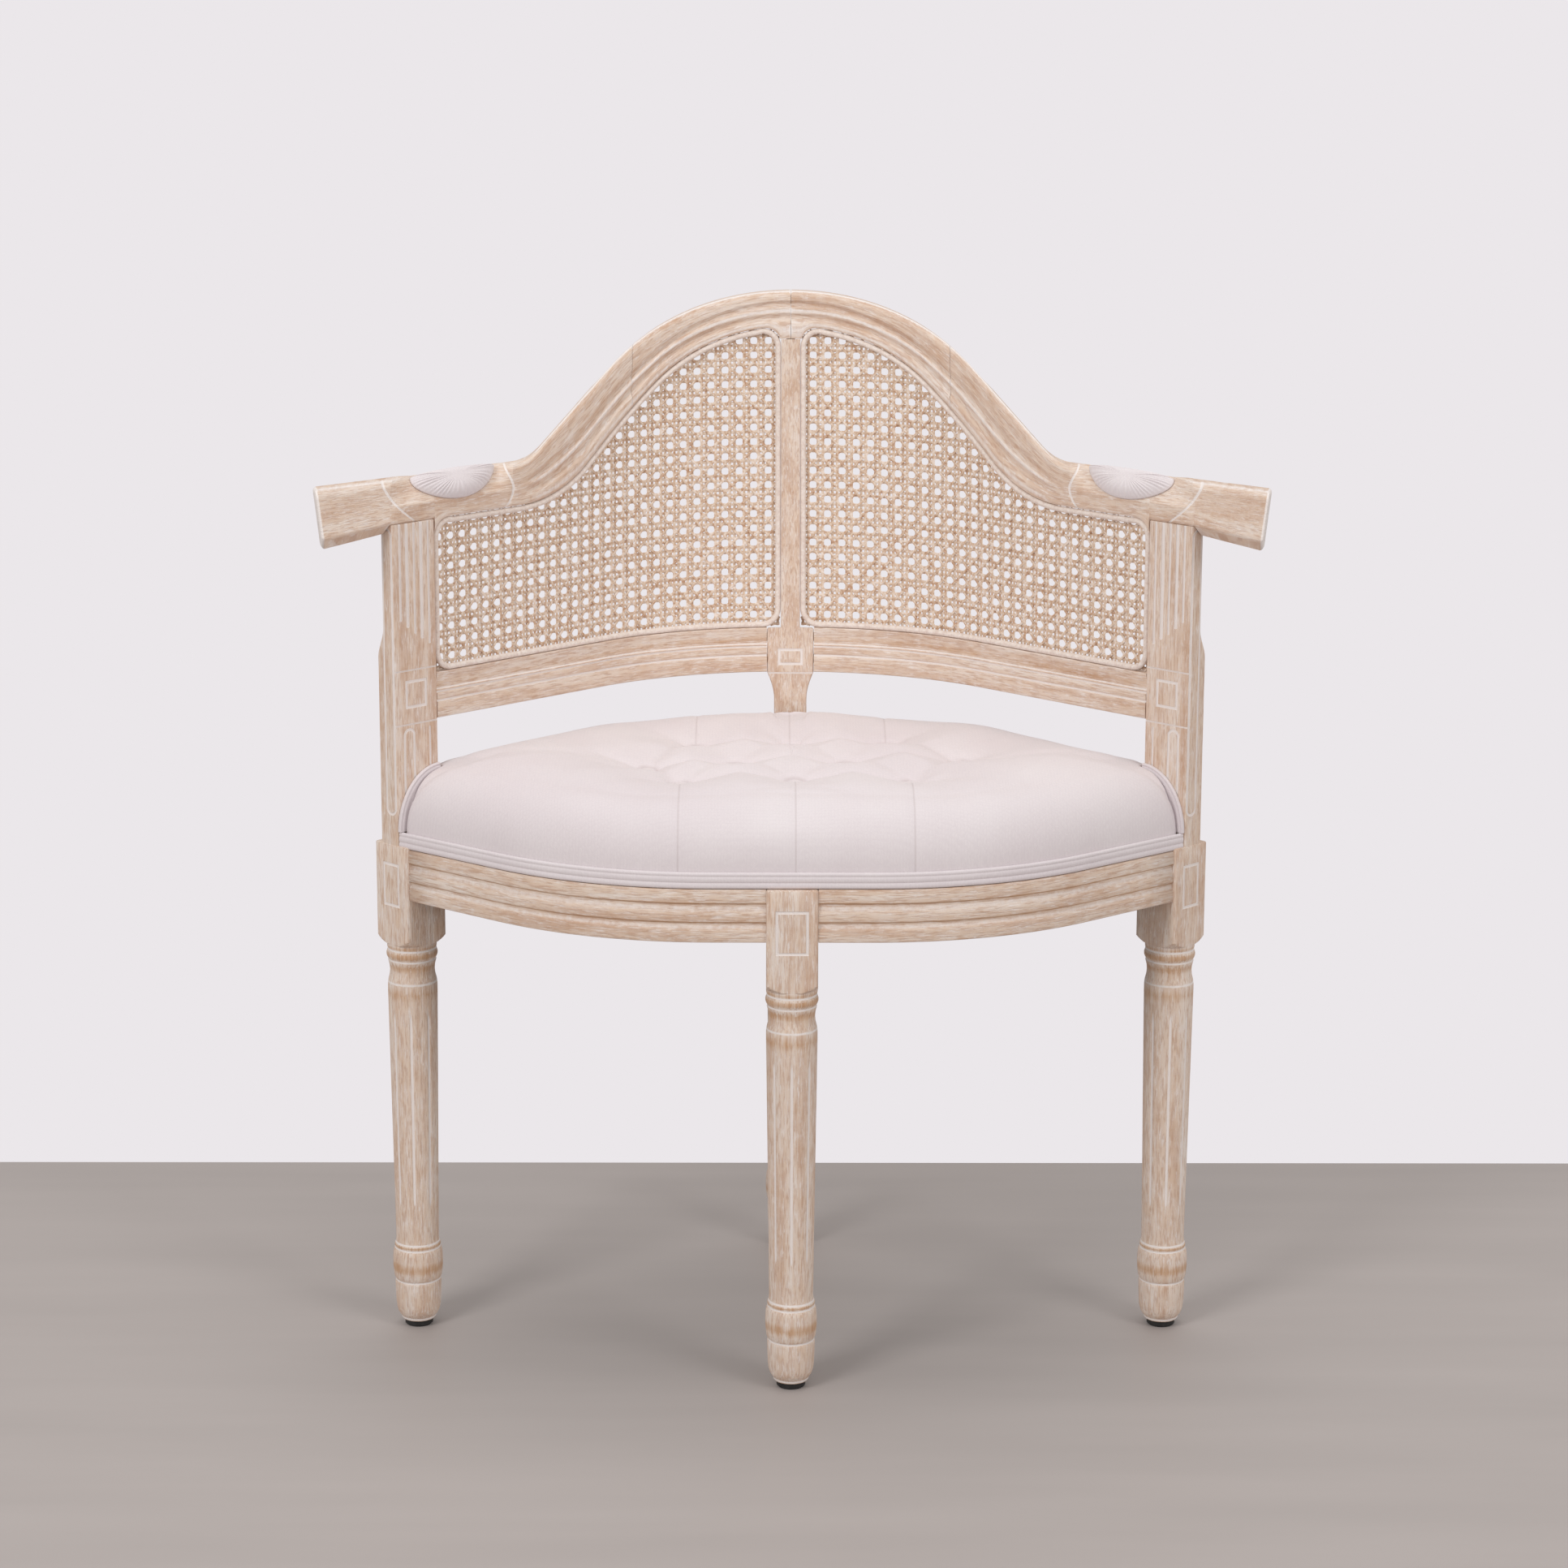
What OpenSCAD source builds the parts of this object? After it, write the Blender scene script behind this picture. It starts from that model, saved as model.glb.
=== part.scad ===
// Corner chair with a caned wrap-around back and a buttoned seat.
// The origin is on the floor, at the middle of the chair's width and depth.
// +Z is up, -Y is the front, and the chair is the same on both sides of X = 0.
// Places are worked out with the side legs' axes at Y = 0, and placed() then sets
// the finished pieces round the origin.

/* [Plan] */
// Distance from the middle plane to a side leg's axis
side_x = 322; // [315:1:330]
// Distance of the front leg's axis ahead of the side legs
front_reach = 139; // [132:1:146]
// Distance of the rear leg's axis behind the side legs
rear_reach = 200; // [190:1:206]
// Radius of the bend in a front seat rail
front_bend_r = 280; // [265:1:295]
// Angle at which a front seat rail runs back to its side leg
front_angle = 39.5; // [38:0.5:41]
// Slope of the back behind the seat, measured at the rear leg
rake = 10; // [6:0.5:12]

/* [Legs] */
// Height of the turned part of a leg, glide included
leg_h = 343; // [320:1:380]
// Largest radius of the turned part
leg_r = 21; // [19:0.5:21]
// Side of the square block that the rails meet
block_w = 42; // [42:0.5:46]
// Height of a leg's square block, up to the seat rails' top edge
block_h = 86; // [76:1:96]
// Number of flutes round a leg
flute_count = 8; // [6:1:10]
// Width of a flute
flute_w = 3; // [2:0.25:4]
// Depth of a flute
flute_d = 1.2; // [0.6:0.1:1.6]
// Radius of a floor glide
glide_r = 12; // [10:0.5:12.5]
// Thickness of a floor glide
glide_h = 5; // [3:0.5:6]
// Radius of the pin that holds a glide
glide_pin_r = 2; // [1.5:0.25:3]
// Length of the pin that holds a glide
glide_pin_l = 18; // [12:1:25]

/* [Seat frame] */
// Height of a seat rail
rail_h = 44; // [38:1:50]
// Thickness of a seat rail
rail_t = 26; // [22:1:28]
// Depth of the carved grooves
carve_d = 1.2; // [0.6:0.1:1.6]
// Width of the carved grooves
carve_w = 2; // [1:0.25:3]
// Height of the side blocks above the seat rails
block_rise = 2; // [1:0.5:4]
// Thickness of the seat board
board_t = 14; // [10:1:16]
// Height of a corner block
corner_h = 24; // [18:1:26]
// Depth of wood between a leg's block and its corner block's inner face
corner_depth = 20; // [17:1:24]
// Thickness of the dust cover
dust_t = 0.8; // [0.5:0.1:1.5]

/* [Back] */
// Height of the lower back rail's bottom edge above the seat rails
back_rise = 105; // [94:1:116]
// Height of a lower back rail
back_rail_h = 39; // [34:1:44]
// Thickness of the back frame
back_t = 22; // [20:0.5:26]
// Width of a side post along the back
post_w = 45.7; // [44:0.1:47]
// Thickness of a side post's slender upper part
post_slim_t = 15; // [13:0.5:18]
// Distance of a post's front face ahead of its block's middle
post_face = 9.2; // [8:0.1:10]
// Height of the crest's top edge above the arms, at the middle
crest_rise = 131; // [120:1:145]
// Height of the crest at the middle
crest_h = 30.5; // [27:0.5:36]
// Height of the arms' top edge above the seat rails
arm_rise = 309; // [299:1:316]
// Height of the arm rail at the side post
arm_h = 35; // [32:1:39]
// Length of the arm beyond the middle of its side post
arm_reach = 98; // [84:1:102]
// Width of the stile's slender upper part
stile_w = 17; // [15:0.5:22]
// Width of the stile below its block
stile_foot_w = 29; // [26:1:34]
// Thickness of the cane sheet
cane_t = 2.5; // [2:0.25:3]
// Spacing of the openings in the cane sheet
cane_pitch = 23; // [22:0.5:26]
// Width of a spline round a cane sheet
spline_w = 5; // [4:0.25:6]

/* [Upholstery] */
// Height of the seat's crown above the side blocks' tops
crown = 79; // [66:1:88]
// Width of the seat's rounded edge at the front
edge_roll = 48; // [40:1:56]
// Width of the seat's rounded edge at the back
back_roll = 24; // [18:1:34]
// Depth of the tufts
tuft_d = 20; // [10:1:24]
// Spacing of the buttons across the seat
tuft_x = 95; // [85:1:100]
// Spacing of the button rows
tuft_y = 66; // [56:1:70]
// Radius of a covered button
button_r = 8; // [6:0.5:10]
// Height of a covered button
button_h = 5; // [4:0.5:7]
// Height of the welt round the seat
welt_h = 14; // [10:0.5:16]
// Thickness of the welt
welt_t = 3; // [2:0.25:4]
// Length of an arm pad
pad_l = 92; // [80:1:100]
// Thickness of an arm pad at its middle
pad_h = 9; // [6:0.5:12]

/* [Joinery] */
// Radius of a dowel
dowel_r = 4; // [3:0.25:4.5]
// Length of a dowel
dowel_l = 36; // [30:1:40]
// Radius of a screw's shank
screw_r = 2; // [1.5:0.25:2.5]
// Length of a screw
screw_l = 34; // [30:1:36]

/* [Hidden] */
$fn = 48;

// Clearance round soft pieces
soft_gap = 0.3;
// Clearance in dowel and screw holes and beside loose wooden pieces
fit_gap = 0.15;
// Overrun of every cut
over = 1;
// Set-back of the seat rails' faces behind the front block's face
face_set = 3;
// Height over which the block's corners are turned away
tongue_h = 8;
// Distance from a side post's outer side to its block's middle
post_out = 20.5;
// Set-back of the stile behind the rear block's back face
stile_set = 4;
// Width of the stile's block between the lower back rails
stile_block_w = 41.6;
// Height over which the stile widens below its block
stile_flare = 22;
// Distance of a front rail's outer face ahead of the side legs' axes
front_meet = 27.2;
// Height above the lower back rail at which a side post becomes slender, and that step
slim_rise = 19;
slim_step = 21;
// Sweeps of the crest's upper edge, over the middle and into the arm, in shares of the widest
// curve that fits between crown and arm, and where the edge meets the arm
crest_r_share = 0.753;
arm_sweep_share = 0.1355;
crest_foot_set = 107.6;
// Sweeps of the crest's lower edge, and where it becomes level before the post
panel_r_share = 0.568;
panel_sweep_share = 0.3415;
panel_foot_set = 120.6;
// Distance along the back from the middle to the seam between crest and arm rail
seam_s = 150;
// Depth of the crest's channel
channel_d = 2;
// Distance along the back from a post's middle to its arm pad's middle
pad_set = 45;
// Drop of the crest's tongue, which meets the stile between the cane panels
tongue_drop = 11;
// Depth of the slanted seat of an arm pad, at the top of the arm
slant_n = 16;
// Backward tilt of an arm's end
end_tilt = 12;
// Drop of an arm's lower edge between its post and its end
end_drop = 6;
// Drop and depth of the bevel under an arm's end
bevel_h = 8;
bevel_n = 10;
// Outward lean of an arm's end over its height
end_lean = 5;
// Depth over which an arm's end is cut back, as a share of its thickness
end_cut_share = 0.65;
// Stretch along the back over which the arm pad's seat fades out
fade_s = 20;
// Depth of the cane sheet behind the frame's face
cane_n = 5.6;
// Bend of a spline at a panel's corners
spline_bend = 14;
// Width of the front and rear corner blocks
corner_w = 110;
// Set-back of the dust cover from the rails' faces
dust_set = 8;
// Radius of a screw's head
head_r = 4;
// Height of a screw's head
head_h = 2.6;
// Reach of a dowel up into the arm rail
arm_dowel_up = 13;
// Reach of the stile's dowel up into the crest
stile_dowel_up = 15;

wood = "#d9c3a5";
pale_wood = "#e2d0b6";
fabric = "#e6dedd";
cane = "#d8bd93";
black = "#222222";
steel = "#9a9a98";

// Values worked out from the sizes above
root2 = sqrt(2);
seat_h = leg_h + block_h;
back_z = seat_h + back_rise;
slim_z = back_z + back_rail_h + slim_rise;
arm_top = seat_h + arm_rise;
crest_top = arm_top + crest_rise;
block_top = seat_h + block_rise;
rail_z = seat_h - rail_h;
front_face_y = -front_reach - block_w / 2 + face_set;
front_flat = side_x - front_bend_r * sin(front_angle)
    + (front_meet + front_face_y + front_bend_r * (1 - cos(front_angle))) / tan(front_angle);
rear_bend_r = (side_x - rear_reach) / (root2 - 1) + rail_t / 2;
rear_bend_y = rear_reach + rail_t / 2 - rear_bend_r;
stile_slab = back_t / cos(rake);
back_line = side_x - post_face * root2;
back_rear_y = rear_reach + block_w / 2 - stile_set - stile_slab + (back_z - seat_h) * tan(rake);
back_r = (back_line - back_rear_y) / (root2 - 1);
arc_s = back_r * PI / 4;
post_y = -post_face * root2;
post_s = arc_s + side_x * root2 - post_face - back_r;
post_in = post_w - post_out;
post_in_s = post_s - post_in;
arm_z = arm_top - arm_h;
arm_end_s = post_s + arm_reach;
pad_s = post_s - pad_set;
post_foot_s = post_s + post_out;
board_z = block_top - board_t;
corner_z = board_z - corner_h;
cushion_z = block_top + soft_gap;
welt_z = seat_h + soft_gap;
roll_z = welt_z + welt_h;
cushion_in = welt_t + 2 * soft_gap;
seat_mid = (rear_bend_y + rear_bend_r + front_face_y) / 2;
crown_z = block_top + crown;
edge_share = 0.8;
button_z = crown_z - tuft_d - button_h;
spline_in = spline_w / 2 + fit_gap;
bend_out = spline_bend + spline_in;

function join(lists) = [for (l = lists) each l];
function flip_x(points) = [for (i = [len(points) - 1:-1:0]) [-points[i][0], points[i][1]]];
function ramp(v, a, b) = v <= a ? 0 : v >= b ? 1 : (v - a) / (b - a);

// Plan of the seat frame, set in from its outer faces

function front_line(inset) = front_face_y + front_bend_r * (1 - cos(front_angle))
    - (front_flat + front_bend_r * sin(front_angle)) * tan(front_angle) + inset / cos(front_angle);
function rear_line(inset) = side_x + (rail_t / 2 - inset) * root2;
function front_meets(line_y, inset) = let (
    x = (line_y - front_line(inset)) / (1 + tan(front_angle))
) [-x, line_y - x];
function front_arc(inset, steps = 8) = [
    for (i = [0:steps]) let (a = front_angle * i / steps)
        [-front_flat - (front_bend_r - inset) * sin(a),
         front_face_y + front_bend_r - (front_bend_r - inset) * cos(a)]
];
function rear_arc(inset, stop = 0, steps = 9) = [
    for (i = [steps:-1:0]) let (a = stop + (45 - stop) * i / steps)
        [-(rear_bend_r - inset) * sin(a), rear_bend_y + (rear_bend_r - inset) * cos(a)]
];
function seat_half(inset) = concat(
    front_arc(inset),
    [front_meets(rear_line(inset), inset)],
    rear_arc(inset)
);
function seat_plan(inset) = let (half = seat_half(inset)) concat(half, flip_x(half));

// The back's front face: s runs along it from the middle, n goes back into the wood

function turn(s) = min(45, s / back_r * 180 / PI);
function plan_x(s) = s < arc_s ? back_r * sin(turn(s)) : (back_r + s - arc_s) / root2;
function plan_y(s) = s < arc_s
    ? back_rear_y - back_r * (1 - cos(turn(s)))
    : back_line - back_r / root2 - (s - arc_s) / root2;
function lean(y, z) = y <= post_y ? y
    : y + (y - post_y) * (z - back_z) * tan(rake) / (back_rear_y - post_y);
function back_point(s, z, n) = [
    -plan_x(s) - n * sin(turn(s)), lean(plan_y(s), z) + n * cos(turn(s)), z
];

// A rounded hill that falls from top to base along s
function widest(h, foot) = (foot * foot + h * h) / (2 * h);
function hill(s, top, base, share1, share2, foot) = let (
    r1 = share1 * widest(top - base, foot),
    r2 = share2 * widest(top - base, foot),
    h = top - base - r1 - r2,
    a = atan2(h, foot) + asin((r1 + r2) / norm([foot, h])),
    s1 = r1 * sin(a),
    s2 = foot - r2 * sin(a),
    s3 = foot
) s <= s1 ? top - r1 + sqrt(r1 * r1 - s * s)
    : s <= s2 ? top - r1 * (1 - cos(a)) - (s - s1) * tan(a)
    : s < s3 ? base + r2 - sqrt(r2 * r2 - (s3 - s) * (s3 - s))
    : base;
function crest_up(s) = hill(s, crest_top, arm_top, crest_r_share, arm_sweep_share, post_s - crest_foot_set);
function crest_edge(s) = hill(
    s, crest_top - crest_h, arm_z, panel_r_share, panel_sweep_share, post_s - panel_foot_set
) - end_drop * ramp(s, post_foot_s, arm_end_s);
function tongue(s) = let (d = bend_out - max(0, s - stile_w / 2))
    d <= 0 ? 0 : min(tongue_drop, bend_out - sqrt(bend_out * bend_out - d * d));
function crest_low(s) = crest_edge(s) - tongue(s);

// Section of the crest and arm at s: points up the front face, then down the back
front_shares = [0, 0.30, 0.36, 0.64, 0.70, 1];
pad_low_share = 0.42;
function pad_seat(s) = ramp(s, pad_s - pad_l / 2 - fade_s, pad_s - pad_l / 2)
    * (1 - ramp(s, pad_s + pad_l / 2, pad_s + pad_l / 2 + fade_s));
function arm_end(s) = ramp(s, pad_s + pad_l / 2, pad_s + pad_l / 2 + fade_s);
function past_post(s) = ramp(s, post_foot_s, post_foot_s + over);
function front_n(s, i) = let (share = front_shares[i])
    (i == 2 || i == 3 ? channel_d * (1 - ramp(s, pad_s - pad_l, pad_s - pad_l / 2)) : 0)
    + pad_seat(s) * slant_n * max(0, (share - pad_low_share) / (1 - pad_low_share))
    + arm_end(s) * tan(end_tilt) * share * (crest_up(s) - crest_edge(s));
function crest_ring(s) = let (
    low = crest_low(s),
    edge = crest_edge(s),
    high = crest_up(s),
    end = past_post(s),
    far = ramp(s, post_foot_s + over, arm_end_s),
    back_cut = tan(turn(s)) * (1 - (1 - end_cut_share) * far),
    tilt = arm_end(s) * tan(end_tilt) * (high - edge),
    section = concat(
        [[front_n(s, 0), low]],
        [for (i = [1:len(front_shares) - 1]) [front_n(s, i), edge + front_shares[i] * (high - edge)]],
        [[back_t + tilt, high], [back_t, low - end * bevel_h],
         [(1 + 3 * end) / 4 * bevel_n, low - end * bevel_h]]
    )
) [for (p = section) let (share = (p[1] - low) / (high - low))
    back_point(s - back_cut * p[0] * max(far, share) - end_lean * far * (1 - share), p[1], p[0])];
function crest_rings(from, to, steps) = [
    for (i = [0:steps]) crest_ring(from + (to - from) * i / steps)
];

crest_ends = [[8, 0, 1], [7, 8, 1], [7, 1, 2], [7, 2, 3], [7, 3, 6], [6, 3, 4], [6, 4, 5]];

// A closed skin through rings of points, whose ends are flat or the given triangles
module skin(rings, loop = false, ends = []) {
    n = len(rings[0]);
    m = len(rings);
    sides = join([
        for (i = [0:m - (loop ? 1 : 2)]) for (j = [0:n - 1]) let (
            a = i * n + j,
            b = i * n + (j + 1) % n,
            c = (i + 1) % m * n + (j + 1) % n,
            d = (i + 1) % m * n + j
        ) [[a, c, b], [a, d, c]]
    ]);
    caps = loop ? [] : ends != [] ? concat(
        ends, [for (e = ends) [e[2] + (m - 1) * n, e[1] + (m - 1) * n, e[0] + (m - 1) * n]]
    ) : [[for (j = [0:n - 1]) j], [for (j = [n - 1:-1:0]) (m - 1) * n + j]];
    polyhedron(join(rings), concat(sides, caps), convexity = 8);
}

// Dowels and screws: each place is a point and the direction of its axis

module along(place) {
    d = place[1];
    translate(place[0])
        rotate([0, acos(d[2] / norm(d)), atan2(d[1], d[0])])
            children();
}
module dowel(grow = 0, length = dowel_l) {
    chamfer = dowel_r / 4 * (grow > 0 ? 0 : 1);
    half = length / 2 + grow;
    rotate_extrude() polygon([
        [0, -half], [dowel_r + grow - chamfer, -half], [dowel_r + grow, chamfer - half],
        [dowel_r + grow, half - chamfer], [dowel_r + grow - chamfer, half], [0, half]
    ]);
}
module screw(grow = 0) {
    rotate_extrude() polygon([
        [0, -grow], [head_r + grow, -grow], [screw_r + grow, head_h + grow],
        [screw_r + grow, screw_l - head_h + grow], [grow / 2, screw_l + grow], [0, screw_l + grow]
    ]);
}
module placed() {
    front = front_reach + leg_r * max([for (p = turning_shares) p[0]]);
    back = lean(back_rear_y, crest_top) + back_t;
    translate([0, (front - back) / 2, 0]) children();
}
function side_point(x, y, z) = [-side_x + (x - y) / root2, (x + y) / root2, z];
along_rail = [1, 1, 0];
across_rail = [-1, 1, 0];
rail_mid_z = rail_z + rail_h / 2;
front_joint_x = rail_t / 2 - block_w / 2;
left_rail_dowels = [for (dz = [-rail_h / 4, rail_h / 4]) each [
    [[-block_w / 2, front_face_y + rail_t / 2, rail_mid_z + dz], [1, 0, 0]],
    [side_point(front_joint_x, -block_w / 2, rail_mid_z + dz), across_rail],
    [side_point(block_w / 2, 0, rail_mid_z + dz), along_rail],
    [[-block_w / 2, rear_reach, rail_mid_z + dz], [1, 0, 0]]
]];
left_back_dowels = [for (dz = [back_rail_h / 4, back_rail_h * 3 / 4]) each [
    [side_point(post_in, back_t / 2 - post_face, back_z + dz), along_rail],
    [[-stile_block_w / 2, back_rear_y + dz * tan(rake) + stile_slab / 2, back_z + dz], [1, 0, 0]]
]];
function seam_mid(s) = back_point(s, (crest_low(s) + crest_up(s)) / 2, back_t / 2);
seam_axis = seam_mid(seam_s + over) - seam_mid(seam_s - over);
left_crest_dowels = [
    for (dz = [-crest_h / 3, crest_h / 3]) [seam_mid(seam_s) + [0, 0, dz], seam_axis]
];
function post_dowel(x) = [
    side_point(x, post_slim_t / 2 - post_face, arm_z + arm_dowel_up - dowel_l / 2), [0, 0, 1]
];
left_post_dowels = [post_dowel(-post_out / 3), post_dowel(post_in * 2 / 3)];
crest_low_mid = crest_low(0);
crest_back_y = lean(back_rear_y, crest_low_mid);
stile_dowel = [
    [0, crest_back_y + stile_slab / 2 + (stile_dowel_up - dowel_l / 2) * tan(rake),
     crest_low_mid + stile_dowel_up - dowel_l / 2],
    [0, sin(rake), cos(rake)]
];
centre_dowel = [
    [0, lean(back_rear_y, crest_top) + back_t / 2, crest_top - dowel_r * 2], [1, 0, 0]
];
function mirror_x(places) = [for (p = places) [
    [-p[0][0], p[0][1], p[0][2]], [-p[1][0], p[1][1], p[1][2]]
]];
screw_dz = corner_h / 4;
corner_mid_z = corner_z + corner_h / 2;
left_corner_screws = [for (dz = [-screw_dz, screw_dz])
    [[-side_x + block_w / root2 + corner_depth, 0, corner_mid_z + dz], [-1, 0, 0]]];
end_corner_screws = [for (dz = [-screw_dz, screw_dz]) each [
    [[0, -front_reach + block_w / 2 + corner_depth, corner_mid_z + dz], [0, -1, 0]],
    [[0, rear_reach - block_w / 2 - corner_depth, corner_mid_z + dz], [0, 1, 0]]
]];
corner_screws = concat(left_corner_screws, mirror_x(left_corner_screws), end_corner_screws);
left_board_screws = [
    for (dy = [-corner_depth, corner_depth]) [[
        -side_x + block_w / root2 + corner_depth / 2, dy * 2 / 3, corner_z], [0, 0, 1]]
];
end_board_screws = [for (x = [-corner_w / 3, corner_w / 3]) each [
    [[x, front_face_y + rail_t + corner_depth / 2, corner_z], [0, 0, 1]],
    [[x, rear_reach - rail_t / 2 - corner_depth, corner_z], [0, 0, 1]]
]];
board_screws = concat(left_board_screws, mirror_x(left_board_screws), end_board_screws);
rail_dowels = concat(left_rail_dowels, mirror_x(left_rail_dowels));
back_dowels = concat(left_back_dowels, mirror_x(left_back_dowels));

module dowel_holes(places) {
    for (p = places) along(p) dowel(fit_gap);
}
module screw_holes(places) {
    for (p = places) along(p) screw(fit_gap);
}

// Legs: radius and height of the turning in shares of leg_r and leg_h
turning_shares = [
    [0.655, 0.0155], [0.70, 0.022], [0.695, 0.0245], [0.76, 0.029], [0.83, 0.036], [0.895, 0.050],
    [0.925, 0.066], [0.945, 0.117], [0.915, 0.1225], [0.965, 0.128], [1.00, 0.150], [1.02, 0.170],
    [1.00, 0.195], [0.955, 0.207], [0.93, 0.209], [0.95, 0.214], [0.93, 0.2195],
    [0.90, 0.221], [0.872, 0.231], [1.00, 0.875], [1.00, 0.893], [0.95, 0.907], [0.90, 0.930],
    [0.96, 0.950], [0.985, 0.953], [0.965, 0.957], [1.03, 0.966], [1.035, 0.975], [0.98, 0.984],
    [1.00, 0.988], [1.00, 1.000]
];
shaft_low_share = [0.872, 0.231];
shaft_high_share = [1.00, 0.875];
flute_shares = [0.31, 0.84];

module leg_turning() {
    rotate_extrude() polygon(concat(
        [[0, glide_h], [glide_r + over, glide_h]],
        [for (p = turning_shares) [p[0] * leg_r, p[1] * leg_h]],
        [[0, leg_h]]
    ));
}
module leg_flutes() {
    taper = (shaft_high_share[0] - shaft_low_share[0]) * leg_r
        / ((shaft_high_share[1] - shaft_low_share[1]) * leg_h);
    mid = (flute_shares[0] + flute_shares[1]) / 2 * leg_h;
    half = (flute_shares[1] - flute_shares[0]) / 2 * leg_h;
    r = shaft_low_share[0] * leg_r + (mid - shaft_low_share[1] * leg_h) * taper;
    for (i = [0:flute_count - 1])
        rotate(i * 360 / flute_count)
            translate([r - flute_d, 0, mid])
                rotate([0, 90 + atan(taper), 0])
                    linear_extrude(flute_d + over) polygon([
                        [-half, 0], [flute_w * 3 - half, -flute_w / 2], [half - flute_w * 3, -flute_w / 2],
                        [half, 0], [half - flute_w * 3, flute_w / 2], [flute_w * 3 - half, flute_w / 2]
                    ]);
}
module leg_block(top) {
    corner_r = block_w / root2;
    intersection() {
        translate([-block_w / 2, -block_w / 2, leg_h - over]) cube([block_w, block_w, top - leg_h + over]);
        rotate_extrude() polygon([
            [0, leg_h - over], [leg_r * 0.9, leg_h - over], [leg_r, leg_h], [(leg_r + corner_r) / 2 + over, leg_h + tongue_h / 3],
            [corner_r + over, leg_h + tongue_h], [corner_r + over, top], [0, top]
        ]);
    }
}
// A carved rectangle, cut into a face that looks along -Y
module carved_frame(w, h) {
    rotate([90, 0, 0]) translate([0, 0, -carve_d]) linear_extrude(carve_d + over) difference() {
        square([w, h], center = true);
        square([w - 2 * carve_w, h - 2 * carve_w], center = true);
    }
}
module carved_line(w, h) {
    rotate([90, 0, 0]) translate([0, 0, -carve_d]) linear_extrude(carve_d + over)
        square([w, h], center = true);
}
module carved_slot(w, h) {
    rotate([90, 0, 0]) translate([0, 0, -carve_d]) linear_extrude(carve_d + over) {
        square([w, h - w], center = true);
        for (end = [-1, 1]) translate([0, end * (h - w) / 2]) circle(d = w);
    }
}
module plain_leg(top) {
    difference() {
        union() {
            leg_turning();
            leg_block(top);
        }
        leg_flutes();
        translate([0, 0, glide_h - over]) cylinder(r = glide_pin_r + fit_gap, h = glide_pin_l + over + fit_gap);
    }
}
block_carve_w = block_w * 0.5;
block_carve_h = rail_h * 0.86;
front_carve_w = block_w * 0.64;

module front_leg() {
    color(wood) placed() difference() {
        translate([0, -front_reach, 0]) difference() {
            plain_leg(seat_h);
            translate([0, -block_w / 2, rail_mid_z - rail_h / 3]) carved_frame(front_carve_w, block_carve_h);
        }
        dowel_holes(rail_dowels);
        screw_holes(corner_screws);
    }
}
// Side post in its block's own square: X along the back rail, Y out through the back
module post_blank(grow = 0, foot = block_top) {
    translate([-post_out - grow, 0, 0]) rotate([90, 0, 90]) linear_extrude(post_w + 2 * grow) polygon([
        [-post_face - grow, foot], [back_t - post_face + grow, foot],
        [back_t - post_face + grow, slim_z], [post_slim_t - post_face + grow, slim_z + slim_step],
        [post_slim_t - post_face + grow, arm_z], [-post_face - grow, arm_z]
    ]);
}
module post_carving() {
    face_mid = post_in - post_w / 2;
    square_z = back_z + back_rail_h * 0.65;
    reed_l = arm_z - slim_z;
    translate([face_mid, -post_face, 0]) {
        translate([0, 0, square_z]) carved_frame(post_w * 0.53, post_w * 0.55);
        for (z = [back_z, back_z + back_rail_h * 1.14])
            translate([0, 0, z]) carved_line(post_w + 2 * over, carve_w / 2);
        for (x = [-post_w / 4, 0, post_w / 4])
            translate([x, 0, arm_z - reed_l / 2 + over]) carved_slot(carve_w, reed_l);
        for (x = [-post_w / 3, post_w / 4])
            translate([x, 0, (block_top + back_z) / 2]) carved_slot(carve_w, (back_z - block_top) * 0.75);
    }
    slot_low = block_top + block_w / 2;
    translate([-post_out, post_slim_t / 2 - post_face, (slot_low + arm_z) / 2])
        rotate(-90) carved_slot(post_slim_t * 0.6, arm_z - slot_low);
}
module left_leg_and_post() {
    color(wood) placed() difference() {
        translate([-side_x, 0, 0]) rotate(45) difference() {
            union() {
                plain_leg(block_top);
                post_blank(foot = seat_h + fit_gap);
            }
            post_carving();
            translate([-block_w / 2, 0, rail_mid_z - rail_h / 4])
                rotate(-90) carved_frame(block_carve_w, block_carve_h);
        }
        dowel_holes(concat(left_rail_dowels, left_back_dowels, left_post_dowels));
        screw_holes(corner_screws);
    }
}
module right_leg_and_post() {
    mirror([1, 0, 0]) left_leg_and_post();
}
module stile() {
    low = (seat_h - back_z) / cos(rake) - block_w / 4;
    high = (crest_top - back_z) / cos(rake);
    block_high = back_rail_h / cos(rake);
    translate([0, back_rear_y, back_z]) rotate([-rake, 0, 0]) difference() {
        translate([0, back_t, 0]) rotate([90, 0, 0]) linear_extrude(back_t) polygon([
            [-stile_foot_w / 2, low], [stile_foot_w / 2, low], [stile_foot_w / 2, -stile_flare],
            [stile_block_w / 2, 0], [stile_block_w / 2, block_high], [stile_w / 2, block_high],
            [stile_w / 2, high], [-stile_w / 2, high], [-stile_w / 2, block_high],
            [-stile_block_w / 2, block_high], [-stile_block_w / 2, 0], [-stile_foot_w / 2, -stile_flare]
        ]);
        translate([0, 0, back_rail_h / 2]) carved_frame(stile_block_w * 0.57, back_rail_h * 0.4);
    }
}
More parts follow.
